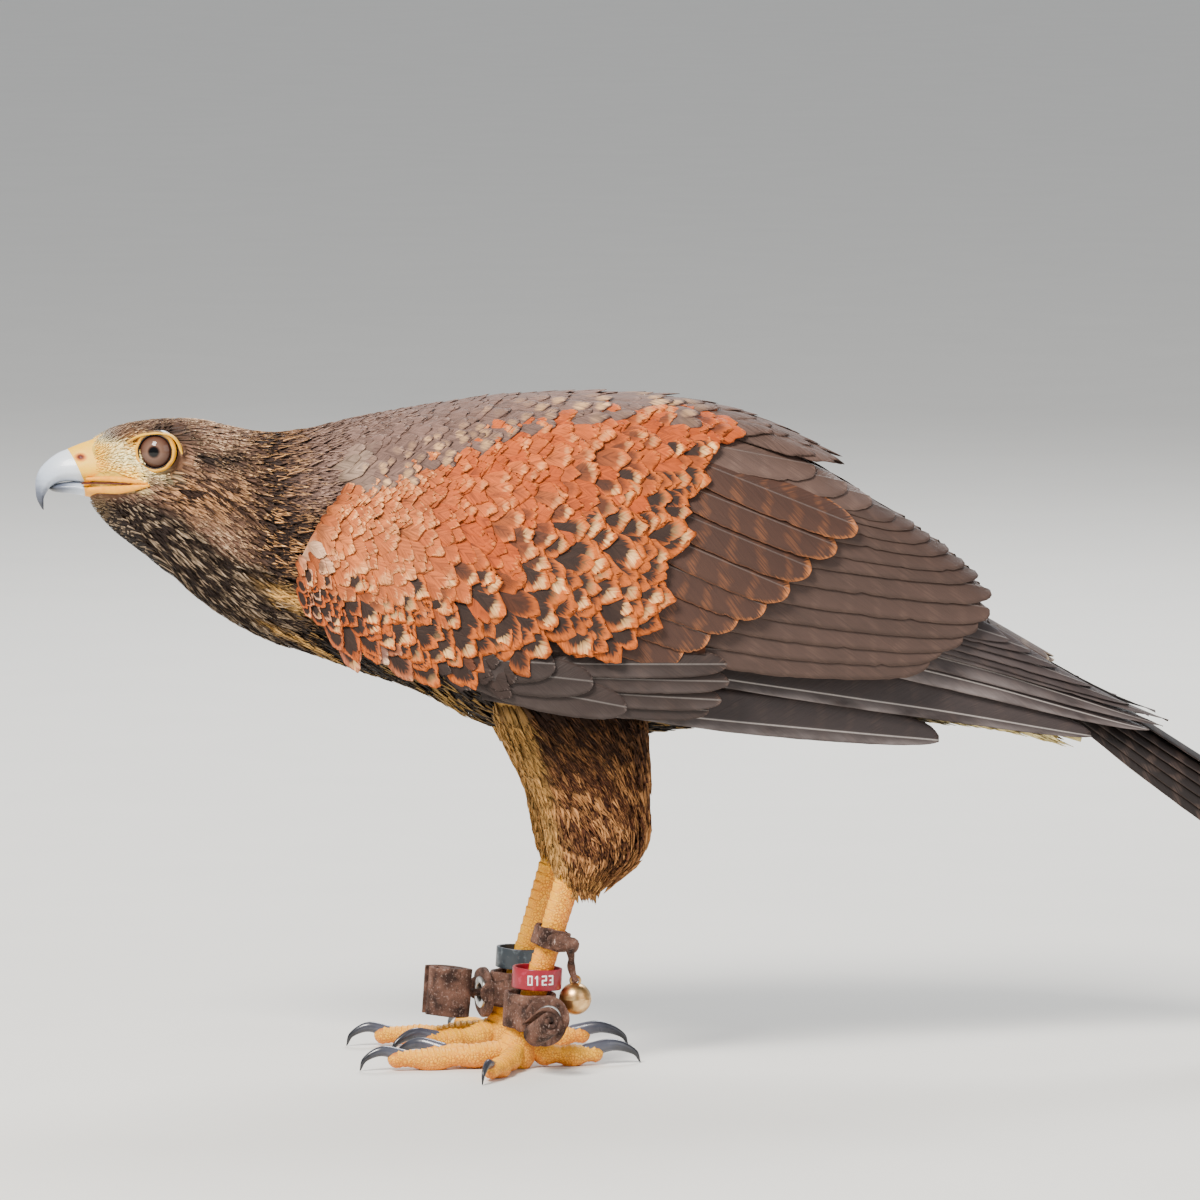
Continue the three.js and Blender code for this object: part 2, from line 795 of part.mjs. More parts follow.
// The cere's front edge leans forward at the ridge
const cereEdge = { x: -213.6, z: 248.7, leanX: 0.62 };
const cutCere = (fromX, toX) => {
  const shift = cereEdge.x + cereEdge.leanX * (cereEdge.z - 215);
  return between(upperBillWhole, fromX + shift, toX + shift, -cereEdge.leanX);
};
const billUpper = largest(cutCere(-60, -partGap).subtract(bodyGrown));
const cere = largest(
  joined([cutCere(0, 60), upperLip, mirrored(upperLip)])
    .subtract(bodyGrown)
    .subtract(nostril)
    .subtract(mirrored(nostril))
    .subtract(boxSolid(40, 60, 0.9, point(-200, 0, 235.2))),
);
const upperBillGrownRows = upperBillRows.map(([topX, topZ, bottomX, bottomZ, halfWidth]) => [
  topX, topZ, bottomX, bottomZ - partGap, halfWidth + partGap,
]);
const billLower = largest(
  joined([lowerBillWhole, lowerLip, mirrored(lowerLip)])
    .subtract(bodyGrown)
    .subtract(boxSolid(40, 60, 3, point(-200, 0, 236.25)))
    .subtract(loft(billRings(upperBillGrownRows, true))),
);
const mouthGroove = boxSolid(22, 80, 0.9, point(-194, 0, 235.2)).subtract(
  boxSolid(40, 2 * 12.5, 4, point(-194, 0, 235.2)),
);

const headWhole = joined([body, browRidge, mirrored(browRidge)])
  .subtract(eyeSocket)
  .subtract(mirrored(eyeSocket));
const neckLean = -0.55;
const head = largest(between(headWhole, -400, neckCutX, neckLean).subtract(mouthGroove));
const neck = largest(between(body, neckCutX + partGap, shoulderCutX, neckLean));
const scapularVanes = scapulars.map(onWing);
const torsoCore = between(body, shoulderCutX + partGap, 400, neckLean).intersect(
  between(body, -400, rumpCutX, -0.35),
);
const torso = largest(
  joined([torsoCore, ...scapularVanes, ...scapularVanes.map(mirrored)]),
);

// Legs
// Feathered thigh in level sections: z, front x, rear x, half width, distance from the middle plane
const thighRows = [
  [74, -18.5, -4, 4.5, 30],
  [77, -20.5, 2, 7, 30],
  [84, -22.6, 10.5, 10.5, 30],
  [94, -24.8, 14.5, 13.2, 29.6],
  [106, -27.3, 14.3, 15.6, 29],
  [122, -35, 13.6, 18.5, 28],
  [138, -44, 13.2, 21, 26],
  [152, -50, 12, 22, 24],
];
const thighAt = along(thighRows);

function thighSolid(grow) {
  return loft(
    [74, 78, 85, 95, 107, 121, 136, 152].map((z, i) => {
      const [front, rear, halfWidth, away] = thighAt(z);
      return steps(0, 2 * Math.PI, 12)
        .slice(0, 12)
        .map((turn) =>
          point(
            mix(front, rear, 0.5) + ((rear - front) / 2 + grow) * Math.cos(turn),
            -away + (halfWidth + grow) * Math.sin(turn),
            z - (i === 0 ? grow : 0),
          ),
        );
    }),
  );
}

// Long trouser feathers that hang off the back of the thigh
const trouserLocks = Array.from({ length: 5 }, (_, i) => {
  const t = i / 4;
  const side = ((i % 3) - 1) * 5.5;
  const rootZ = mix(118, 82, t);
  const [front, rear] = thighAt(rootZ);
  const rootX = rear - 6;
  return bar(
    [
      point(rootX, -legSpread + side, rootZ),
      point(rootX + 6, -legSpread + side * 1.1, rootZ - 7),
      point(rear + 3.4 - t * 3, -legSpread + side * 1.2, rootZ - 16 + t * 5),
    ],
    [[0, 3.4, 1.2], [0.5, 3, 1], [1, 0.5, 0.35]],
    4,
    2,
  );
});

// Legs lean back from the foot to the heel inside the feathers
function tarsusPoint(z) {
  const t = (z - tarsusFoot.z) / (tarsusTop.z - tarsusFoot.z);
  return point(mix(tarsusFoot.x, tarsusTop.x, t), -legSpread, z);
}
const tarsusSizes = [
  [0, 6.4, 7.2],
  [0.12, 4.9, 5.6],
  [0.4, 4, 4.9],
  [0.8, 4.2, 5.3],
  [1, 4.4, 5.6],
];
function tarsusBar(grow) {
  const sizes = tarsusSizes.map(([t, halfWidth, halfHeight]) => [t, halfWidth + grow, halfHeight + grow]);
  return bar([tarsusPoint(11), tarsusPoint(40), tarsusPoint(88)], sizes, 10, 5, point(1, 0, 0));
}
const footPad = placed(
  new THREE.SphereGeometry(1, 12, 7).scale(9.6, 7.4, 9),
  point(tarsusFoot.x + 0.5, -legSpread, 6.4),
  point(0, 1, 0),
);

// Toes: direction from the foot, length to the claw's root, half width, half height and the claw's length
const toes = {
  middle: { away: [-1, -0.06], length: 50, half: [4.5, 4.3], claw: 21, clawHalf: 2.5 },
  outer: { away: [-0.42, -1], length: 38, half: [4, 3.9], claw: 17, clawHalf: 2.2 },
  inner: { away: [-0.95, 0.42], length: 36, half: [4.3, 4.2], claw: 24, clawHalf: 2.9 },
  hind: { away: [1, 0.14], length: 31, half: [4.3, 4.2], claw: 27, clawHalf: 3 },
};

function toeSpot(toe, distance, z) {
  const way = new THREE.Vector2(...toe.away).normalize();
  return point(
    tarsusFoot.x + way.x * distance,
    -legSpread + way.y * distance,
    z,
  );
}

// A toe swells at each joint's pad and rests on a flat
function toeSolid(toe, grow = 0) {
  const [halfWidth, halfHeight] = toe.half;
  const end = toe.length;
  const path = [
    toeSpot(toe, 3, 8),
    toeSpot(toe, end * 0.35, halfHeight + 1.2),
    toeSpot(toe, end * 0.7, halfHeight - 0.2),
    toeSpot(toe, end, halfHeight + 0.5),
  ];
  const swell = (t) => 1 + 0.1 * Math.sin(t * Math.PI * 6 + 0.6);
  const sizes = steps(0, 1, 6).map((t) => {
    const taper = t > 0.9 ? 0.8 : 1;
    const size = swell(t) * taper;
    return [t, halfWidth * size + grow, halfHeight * size + grow];
  });
  return bar(path, sizes, 8, 6).subtract(belowFloor);
}

function clawSolid(toe, grow) {
  const [, halfHeight] = toe.half;
  const end = toe.length;
  const reach = toe.claw;
  return bar(
    [
      toeSpot(toe, end - 3, halfHeight + 1.6),
      toeSpot(toe, end + reach * 0.28, halfHeight + 3.6),
      toeSpot(toe, end + reach * 0.6, halfHeight + 0.6),
      toeSpot(toe, end + reach * 0.7, 0.5),
    ],
    [
      [0, toe.clawHalf * 0.85 + grow, toe.clawHalf + grow],
      [0.4, toe.clawHalf * 0.7 + grow, toe.clawHalf * 0.85 + grow],
      [0.8, toe.clawHalf * 0.34 + grow, toe.clawHalf * 0.42 + grow],
      [1, 0.3 + grow, 0.35 + grow],
    ],
    6,
    5,
  );
}

// What the bird wears on a leg
const tarsusAxis = tarsusPoint(60).sub(tarsusPoint(20)).normalize();
const upright = point(0.06, 0, 1);

// A band round the tarsus between two heights
function legBand(z, height, innerRadius, outerRadius, sides, axis = tarsusAxis, shift = 0) {
  const half = height / 2;
  const profile = [
    [innerRadius, -half],
    [outerRadius, -half],
    [outerRadius, half],
    [innerRadius, half],
    [innerRadius, -half],
  ].map(([r, h]) => new THREE.Vector2(r, h));
  const centre = tarsusPoint(z).add(point(shift, 0, 0));
  return placed(new THREE.LatheGeometry(profile, sides), centre, axis);
}

// A strap rolled up on itself and extruded along its axis; wide stretches it sideways
function strapRoll(centre, axis, radius, length, thickness, wide) {
  const turns = 1.35;
  const spiral = steps(0, turns * 2 * Math.PI, 12);
  const pitch = (thickness + 0.5) / (2 * Math.PI);
  const at = (turn, inset) => {
    const r = radius - pitch * turn - inset;
    return new THREE.Vector2(r * Math.cos(turn) * wide, r * Math.sin(turn));
  };
  const outline = [
    ...spiral.map((turn) => at(turn, 0)),
    ...spiral.map((turn) => at(turn, thickness)).reverse(),
  ];
  const geometry = new THREE.ExtrudeGeometry(new THREE.Shape(outline), {
    depth: length,
    bevelEnabled: false,
    steps: 1,
  }).translate(0, 0, -length / 2);
  return placed(geometry, centre, axis, point(0, 0, 1));
}

const disc = (radius, thickness, centre, axis, sides = 16) =>
  placed(new THREE.CylinderGeometry(radius, radius, thickness, sides), centre, axis);

const turned = (profile, sides, centre, axis) =>
  placed(
    new THREE.LatheGeometry(profile.map(([r, h]) => new THREE.Vector2(r, h)), sides),
    centre,
    axis,
  );

// Anklet: a leather cuff whose two ends leave it side by side and meet in a round tab with an eyelet
const cuff = { z: 23.5, height: 14, inner: 8.5, outer: 10.4 };
const tab = { reach: 13.4, radius: 10.2, thickness: 2.4, hole: 5.1, endSpread: 8.4 };
const eyeletProfile = [
  [4.3, -2.1], [6.5, -2.1], [6.5, -1.5], [4.8, -1.5],
  [4.8, 1.5], [6.5, 1.5], [6.5, 2.1], [4.3, 2.1], [4.3, -2.1],
];

function anklet(away, tabZ) {
  const centre = tarsusPoint(cuff.z);
  const way = point(away.x, away.y, 0).normalize();
  const across = point(-way.y, way.x, 0);
  const tabCentre = centre.clone().addScaledVector(way, tab.reach).setZ(tabZ);
  const ends = [-1, 1].map((side) => {
    const place = centre.clone().addScaledVector(way, 8.6).addScaledVector(across, side * tab.endSpread);
    return solidOf(
      new THREE.BoxGeometry(8.4, 1.8, 9)
        .rotateZ(Math.atan2(way.y, way.x))
        .translate(place.x, place.y, tabZ + 0.6),
    );
  });
  const leather = joined([
    legBand(cuff.z, cuff.height, cuff.inner, cuff.outer, 16, upright),
    disc(tab.radius, tab.thickness, tabCentre, way, 14),
    ...ends,
  ]).subtract(disc(tab.hole, 8, tabCentre, way, 10));
  return {
    leather: largest(leather),
    eyelet: turned(eyeletProfile, 10, tabCentre, way),
    tabCentre,
    way,
  };
}

// A jess is left out but for the rolled button that keeps it in the eyelet
function jessButton({ tabCentre, way }, centre, axis, size) {
  const stem = bar(
    [
      tabCentre.clone().addScaledVector(way, -1.6),
      tabCentre.clone().addScaledVector(way, 3.4),
      centre,
    ],
    [[0, 1.7, 1.7], [1, 1.7, 1.7]],
    6,
    3,
  );
  const roll = strapRoll(centre, axis, size.radius, size.length, 2.1, size.wide);
  return largest(joined([roll, stem]));
}

const leftAnklet = anklet({ x: 0.423, y: -0.906 }, 20.5);
const rightAnklet = anklet({ x: -0.97, y: 0.24 }, 22.6);
const leftButton = jessButton(leftAnklet, point(-29.3, -57.3, 19.8), point(0.35, -0.8, 0.45), {
  radius: 7,
  length: 15,
  wide: 1,
});
const rightButton = jessButton(rightAnklet, point(-60.2, -23.4, 23.5), point(0.08, 0, 1), {
  radius: 6.8,
  length: 19.6,
  wide: 1.76,
});

// Bewit: a strap round the tarsus with a knot that the bell hangs from
const bellRadius = 6.5;
const bellCentre = point(-13.2, -30.5, 27.6);
const bewitKnot = tarsusPoint(52.5).add(point(4, -10.2, -0.8));
const bewit = largest(
  joined([
    legBand(52.5, 8, 5.9, 7.6, 12),
    placed(new THREE.SphereGeometry(1, 10, 6).scale(5.5, 3.5, 3.5), bewitKnot, point(0, 1, 0)),
    bar(
      [
        bewitKnot.clone().add(point(2.4, 1, -1)),
        bewitKnot.clone().add(point(3.6, 3, -6)),
        bellCentre.clone().add(point(-1.6, -0.6, bellRadius + 6)),
        bellCentre.clone().add(point(0, 0, bellRadius + 0.4)),
      ],
      [[0, 1.6, 1.1], [1, 1.4, 0.9]],
      6,
      4,
      point(1, 0, 0),
    ),
  ]),
);
const bellProfile = [
  [0, -bellRadius],
  ...steps(-1.2, 1.2, 6).map((turn) => [
    bellRadius * Math.cos(turn) + (Math.abs(turn) < 0.1 ? 0.4 : 0),
    bellRadius * Math.sin(turn),
  ]),
  [0, bellRadius],
];
const bell = largest(
  turned(bellProfile, 14, bellCentre, point(0, 0, 1)).subtract(
    boxSolid(20, 1.2, 7, bellCentre.clone().add(point(0, 0, -5))),
  ),
);
const redRing = legBand(36.4, 8.4, 8.9, 10, 20, upright, -0.6);
const darkRing = legBand(36.2, 8.4, 8.2, 9.4, 18, upright, -2);

// Both legs come from the left one; right leg pieces are mirrored
const thighGrown = thighSolid(partGap);
const thigh = largest(
  joined([thighSolid(0), ...trouserLocks]).subtract(bodyGrown),
);
const tarsus = largest(
  joined([tarsusBar(0), footPad]).subtract(thighGrown).subtract(belowFloor),
);
const padGrown = joined([
  placed(
    new THREE.SphereGeometry(1, 12, 7).scale(9.9, 7.7, 9.3),
    point(tarsusFoot.x + 0.5, -legSpread, 6.4),
    point(0, 1, 0),
  ),
  tarsusBar(partGap),
]);
const toeSolids = {};
const clawSolids = {};
const madeToes = [];
for (const [name, toe] of Object.entries(toes)) {
  const room = joined([padGrown, clawSolid(toe, partGap), ...madeToes]);
  toeSolids[name] = largest(toeSolid(toe).subtract(room));
  clawSolids[name] = largest(clawSolid(toe, 0).subtract(belowFloor));
  madeToes.push(toeSolid(toe, partGap));
}

// The nodes
const bird = new THREE.Group();

function addNode(name, solid, hex, roughness = 0.8, metalness = 0) {
  const { numProp, numVert, vertProperties, triVerts } = solid.getMesh();
  const positions = new Float32Array(numVert * 3);
  for (let i = 0; i < numVert; i++)
    positions.set(vertProperties.subarray(i * numProp, i * numProp + 3), i * 3);
  const geometry = new THREE.BufferGeometry();
  geometry.setAttribute("position", new THREE.BufferAttribute(positions, 3));
  geometry.setIndex(new THREE.BufferAttribute(new Uint32Array(triVerts), 1));
  const flat = geometry.toNonIndexed();
  flat.computeVertexNormals();
  const mesh = new THREE.Mesh(
    flat,
    new THREE.MeshStandardMaterial({ color: hex, roughness, metalness }),
  );
  mesh.name = name;
  bird.add(mesh);
}

function addPair(name, leftSolid, ...finish) {
  addNode(`${name}_left`, leftSolid, ...finish);
  addNode(`${name}_right`, mirrored(leftSolid), ...finish);
}

addNode("head", head, colour.headBrown);
addNode("neck", neck, colour.darkBrown);
addNode("torso", torso, colour.darkBrown);
addNode("cere", cere, colour.cereYellow, 0.5);
addNode("bill_upper", billUpper, colour.billGrey, 0.35);
addNode("bill_lower", billLower, colour.billGrey, 0.4);
addPair("eye", eyeball, colour.eyeBrown, 0.08);
addPair("eyelids", eyelids, colour.cereYellow, 0.55);
addPair("wing_arm", wingArm, colour.chestnut);
addPair("wing_hand", wingHand, colour.vane, 0.6);
addNode("tail", tail, colour.vane, 0.6);
addPair("thigh", thigh, colour.buff);
addPair("tarsus", tarsus, colour.legYellow, 0.55);
for (const name of Object.keys(toes)) {
  addPair(`toe_${name}`, toeSolids[name], colour.legYellow, 0.6);
  addPair(`claw_${name}`, clawSolids[name], colour.horn, 0.25);
}
addNode("leg_ring_left", redRing, colour.ringRed, 0.4);
addNode("leg_ring_right", mirrored(darkRing), colour.ringDark, 0.45);
addNode("bewit", bewit, colour.leather);
addNode("bell", bell, colour.brass, 0.3, 1);
addNode("anklet_left", leftAnklet.leather, colour.leather);
addNode("eyelet_left", leftAnklet.eyelet, colour.steel, 0.3, 1);
addNode("jess_button_left", leftButton, colour.leather);
addNode("anklet_right", mirrored(rightAnklet.leather), colour.leather);
addNode("eyelet_right", mirrored(rightAnklet.eyelet), colour.steel, 0.3, 1);
addNode("jess_button_right", mirrored(rightButton), colour.leather);

// The origin is on the floor under the middle of the whole bird
const extent = new THREE.Box3().setFromObject(bird);
const middle = extent.getCenter(point(0, 0, 0));
bird.position.set(-middle.x, -middle.y, -extent.min.z);

export default bird;
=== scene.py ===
import math
import bpy
import numpy as np
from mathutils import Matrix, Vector


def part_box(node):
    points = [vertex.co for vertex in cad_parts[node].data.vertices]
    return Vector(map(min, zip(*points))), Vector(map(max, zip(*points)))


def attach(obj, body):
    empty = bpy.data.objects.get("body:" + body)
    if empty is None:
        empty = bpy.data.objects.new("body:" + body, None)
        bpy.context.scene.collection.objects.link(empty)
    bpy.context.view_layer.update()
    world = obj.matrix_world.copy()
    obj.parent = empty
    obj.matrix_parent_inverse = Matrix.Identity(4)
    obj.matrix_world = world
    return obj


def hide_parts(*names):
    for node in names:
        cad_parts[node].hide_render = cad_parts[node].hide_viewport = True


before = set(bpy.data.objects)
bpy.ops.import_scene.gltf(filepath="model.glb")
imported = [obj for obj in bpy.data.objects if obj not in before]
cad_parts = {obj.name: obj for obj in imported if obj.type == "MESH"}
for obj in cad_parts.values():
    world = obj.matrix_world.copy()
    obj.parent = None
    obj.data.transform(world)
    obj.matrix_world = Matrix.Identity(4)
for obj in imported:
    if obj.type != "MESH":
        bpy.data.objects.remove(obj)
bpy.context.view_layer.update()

chance = np.random.default_rng(41)
millimetre = 0.001

# Shapes are worked out in millimetres on the drawing's own zero, which the left eye gives back
eyePlace = np.array([-178.6, -13.4, 248.6])
shift = np.array(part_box("eye_left")).mean(0) / millimetre - eyePlace


# Screen colour, 0 to 255, as the linear one that shaders use
def paint(red, green, blue):
    return tuple((c / 255) ** 2.2 for c in (red, green, blue)) + (1.0,)


plumage = {name: paint(*colour) for name, colour in {
    "crownDark": (136, 100, 80), "crownLight": (250, 208, 168),
    "foreheadPale": (236, 226, 214), "browDark": (40, 29, 24),
    "loreWhite": (255, 242, 184), "loreYellow": (255, 206, 80), "loreOrange": (222, 146, 52),
    "cheekDark": (52, 34, 25), "cheekLight": (206, 150, 104),
    "throatDark": (44, 31, 24), "throatLight": (168, 144, 118),
    "chin": (150, 124, 90),
    "neckDark": (46, 32, 26), "neckLight": (224, 160, 100),
    "patch": (222, 168, 92), "mantle": (116, 90, 80), "mantleLight": (158, 128, 113),
    "cream": (240, 212, 176), "rearMantle": (92, 72, 64),
    "shoulder": (180, 92, 48), "shoulderLight": (236, 164, 108),
    "chestnut": (182, 78, 28), "chestnutLight": (224, 134, 70),
    "covertEdge": (196, 98, 38), "covertTip": (246, 190, 124), "core": (50, 36, 30),
    "hand": (52, 41, 37), "handFrost": (120, 104, 98),
    "bellyDark": (30, 21, 15), "bellyLight": (150, 116, 62),
    "thigh": (182, 126, 76), "thighBar": (74, 40, 21), "thighShade": (44, 29, 18),
    "vane": (74, 57, 50), "vaneLight": (112, 88, 76), "greater": (70, 48, 39),
    "buffTip": (206, 124, 68), "primary": (60, 51, 50), "frost": (124, 114, 112),
    "shaft": (196, 186, 180), "undertail": (236, 214, 150), "tailDark": (34, 27, 25),
}.items()}


# A smooth line through the rows of a table, looked up by their first number
def smoothTable(rows):
    rows = np.array(rows, float)
    key, values = rows[:, 0], rows[:, 1:]
    slopes = np.empty_like(values)
    slopes[1:-1] = (values[2:] - values[:-2]) / (key[2:] - key[:-2])[:, None]
    slopes[0] = (values[1] - values[0]) / (key[1] - key[0])
    slopes[-1] = (values[-1] - values[-2]) / (key[-1] - key[-2])
    fine = np.linspace(key[0], key[-1], 1600)
    i = np.clip(np.searchsorted(key, fine, "right") - 1, 0, len(key) - 2)
    width = (key[i + 1] - key[i])[:, None]
    t = (fine - key[i])[:, None] / width
    made = (1 + 2 * t) * (1 - t) ** 2 * values[i] + t * t * (3 - 2 * t) * values[i + 1]
    made += width * (t * (1 - t) ** 2 * slopes[i] + t * t * (t - 1) * slopes[i + 1])
    return lambda x: [np.interp(x, fine, made[:, c]) for c in range(made.shape[1])]


def ease(x, low, high):
    t = np.clip((np.asarray(x, float) - low) / (high - low), 0, 1)
    return t * t * (3 - 2 * t)


def bump(x, middle, width):
    return np.exp(-(((x - middle) / width) ** 2))


def blend(a, b, t):
    return a + (b - a) * t


def unit(v):
    v = np.array(v, float)
    return v / np.linalg.norm(v)


def circle(count):
    return np.linspace(0, 2 * np.pi, count, endpoint=False)


# Values of like shape as rows of three
def triples(*values):
    return np.stack(np.broadcast_arrays(*values), -1).reshape(-1, 3)


# How far places lie from the eye, seen from the side
def fromEye(place):
    return np.hypot(place[:, 0] - eyePlace[0], place[:, 2] - eyePlace[2])


# Trunk, neck and head under their feathers
body = {
    # x, top z, bottom z, half width, how far down the widest place lies, fullness
    "rows": [
        [-206, 250.5, 229, 7.4, 0.5, 2.2], [-202.7, 253.4, 224, 9.6, 0.44, 2.2],
        [-196.7, 256.6, 217.1, 13.4, 0.38, 2.2], [-188.6, 258.7, 210.5, 18.6, 0.34, 2.2],
        [-176.4, 260, 201, 23, 0.32, 2.2], [-162.2, 259.7, 187.9, 25.4, 0.33, 2.1],
        [-148, 256.6, 178, 27.5, 0.38, 2.1], [-133.8, 254.2, 170.6, 31, 0.42, 2.1],
        [-117.6, 255.5, 165.5, 35.5, 0.44, 2.1], [-97.3, 260, 158, 40.5, 0.45, 2.1],
        [-73, 263.8, 149.6, 45, 0.46, 2.1], [-48.7, 266.2, 137.2, 48, 0.48, 2.1],
        [-24.3, 266.6, 132.1, 49, 0.5, 2.1], [0, 265, 131, 48.5, 0.5, 2.1],
        [24.3, 261, 132.7, 46, 0.5, 2.1], [48.7, 253.5, 134.9, 42, 0.5, 2.1],
        [73, 238, 136.3, 37.5, 0.5, 2.1], [97.3, 220.5, 136.4, 31.5, 0.5, 2.1],
        [121.6, 201.5, 135.3, 25, 0.5, 2.1], [146, 181.5, 133.4, 18.5, 0.5, 2.1],
        [170.3, 162.5, 129.4, 13.5, 0.5, 2.1], [190, 147.5, 124.5, 9.5, 0.5, 2.1],
        [208, 133, 118.5, 5.5, 0.5, 2],
    ],
    "browOut": 1.6,
    "loreHollow": 1.5,
    "socket": 18.6,  # how far out the skin reaches round the eye
    "socketRadius": 8,
    "socketSlope": 0.9,
}
bodyAt = smoothTable(body["rows"])


def signedPower(v, power):
    return v * (v * v + 1e-4) ** ((power - 1) / 2)


# Angle 0 is the back's middle, a quarter turn the left side and a half turn the belly
def bodyPoint(x, angle):
    top, bottom, halfWidth, widest, fullness = bodyAt(x)
    middle = blend(top, bottom, widest)
    up, side = np.cos(angle), np.sin(angle)
    power = 2 / fullness
    y = -halfWidth * signedPower(side, power)
    z = middle + np.where(up > 0, top - middle, middle - bottom) * signedPower(up, power)
    out = body["browOut"] * bump(x, -179, 9) * bump(z, 255.8, 2.6)
    out = out - body["loreHollow"] * (bump(x, -193, 7) * bump(z, 246, 6)
                                      + bump(x, -189, 4) * bump(z, 247.5, 7))
    y = y * (1 + out / np.maximum(halfWidth, 5))
    eye = np.hypot(x - eyePlace[0], z - eyePlace[2])
    cap = body["socket"] + body["socketSlope"] * np.maximum(eye - body["socketRadius"], 0)
    y = np.sign(y) * np.minimum(np.abs(y), np.where(z > eyePlace[2] + 5.5, 99, cap))
    return np.stack([x + 0 * y, y, z], -1)


wing = {
    # x, top z, lower edge z, half width
    "rows": [
        [-128, 248, 190, 38], [-121.6, 251.5, 186.6, 44], [-112, 255.4, 181.5, 51.5],
        [-101.4, 259, 177.4, 57], [-81.1, 262.8, 169.3, 62.5], [-60.8, 265.9, 160.9, 66],
        [-40.5, 268.5, 153.6, 68], [-16.2, 269.4, 147.8, 69], [8.1, 268.8, 143.3, 68],
        [32.4, 266.9, 139.9, 65], [56.8, 260.9, 136.8, 61], [81.1, 250.5, 133.5, 55.5],
        [105.4, 236.5, 130.9, 50], [129.8, 220, 128.7, 43.5], [154.1, 200.5, 128.2, 40.5],
        [178.4, 180.5, 127.6, 39], [202.7, 165.5, 127, 37.5], [223, 156, 128, 36],
        [242, 148, 129, 34.5],
    ],
    "armStart": [[-124, 0.78], [-118, 0.64], [-108.6, 0.52], [-88, 0.42], [-63, 0.31],
                 [-35, 0.2], [0, 0.14], [60, 0.13]],
    "armEnd": [[-124, 1], [-97, 1], [-88, 0.985], [-63, 0.934], [-23, 0.884],
               [8, 0.861], [34, 0.848], [60, 0.84]],
}
wingAt = smoothTable(wing["rows"])
armStartAt = smoothTable(wing["armStart"])
armEndAt = smoothTable(wing["armEnd"])


# Share 0 is the back's middle and share 1 the wing's lower edge
def wingPoint(x, share, depth=0.0):
    top, bottom, fullWidth = wingAt(x)
    parting = 7 * ease(x, 10, 100)
    halfWidth = fullWidth - parting
    height = top - bottom
    turn = share * np.pi / 2
    ny, nz = np.sin(turn) / halfWidth, np.cos(turn) / height
    size = np.hypot(ny, nz)
    y = parting + halfWidth * np.sin(turn) - ny / size * depth
    z = bottom + height * np.cos(turn) - nz / size * depth
    return np.stack([x + 0 * y, -y, z], -1)


def wingShare(x, z):
    top, bottom, _ = wingAt(x)
    return np.arccos(np.clip((z - bottom) / (top - bottom), -0.99, 0.9999)) / (np.pi / 2)


tail = {
    "ridge": [[112, 198], [140, 184], [180, 161], [211, 142], [243, 121.4], [320, 72]],
    "arch": [[0, 10], [40, 13], [110, 19], [150, 23], [240, 28]],
}


# A curve through points, evened out by length
def throughPoints(points, count):
    points = np.array(points, float)
    ends = np.vstack([2 * points[0] - points[1], points, 2 * points[-1] - points[-2]])
    made = []
    for i in range(len(points) - 1):
        a, b, c, d = ends[i:i + 4]
        t = np.linspace(0, 1, 60, endpoint=False)[:, None]
        made.append(0.5 * (2 * b + (c - a) * t + (2 * a - 5 * b + 4 * c - d) * t ** 2
                           + (3 * b - a - 3 * c + d) * t ** 3))
    made = np.vstack([*made, points[-1:]])
    run = np.concatenate([[0], np.cumsum(np.linalg.norm(np.diff(made, axis=0), axis=1))])
    at = np.linspace(0, run[-1], count)
    return np.stack([np.interp(at, run, made[:, c]) for c in range(points.shape[1])], -1), run[-1]


tailLine, tailLength = throughPoints(tail["ridge"], 400)
tailSlope = np.gradient(tailLine, axis=0)
tailSlope /= np.linalg.norm(tailSlope, axis=1)[:, None]
tailArchAt = smoothTable(tail["arch"])


def tailPoint(run, turn, depth=0.0):
    at = np.clip(run / tailLength, 0, 1) * (len(tailLine) - 1)
    index = np.arange(len(tailLine))
    x, z = (np.interp(at, index, tailLine[:, c]) for c in (0, 1))
    ax, az = (np.interp(at, index, tailSlope[:, c]) for c in (0, 1))
    beyond = np.maximum(run - tailLength, 0)
    radius = tailArchAt(np.minimum(run, tailLength))[0]
    drop = radius - (radius - depth) * np.cos(turn)
    return np.stack([x + ax * beyond + az * drop, (radius - depth) * np.sin(turn),
                     z + az * beyond - ax * drop], -1)


thigh = {
    "top": 152,
    # z, front x, rear x, half width, distance from the middle plane
    "rows": [
        [72, -18, -5, 4, 30], [77, -20.5, 1, 6.6, 30], [84, -22.6, 9.5, 10.2, 30],
        [94, -24.8, 13.5, 13, 29.6], [106, -27.3, 13.6, 15.4, 29], [122, -35, 13.2, 18.3, 28],
        [138, -44, 13, 20.8, 26], [152, -50, 12, 21.8, 24],
    ],
}
thighAt = smoothTable(thigh["rows"])


# Runs down the thigh; angle 0 is its outer side and a quarter turn its front
def thighPoint(down, angle, side=-1):
    z = thigh["top"] - down
    front, rear, halfWidth, away = thighAt(z)
    x = (front + rear) / 2 - (rear - front) / 2 * np.sin(angle)
    return np.stack([x, side * (away + halfWidth * np.cos(angle)), z + 0 * x], -1)


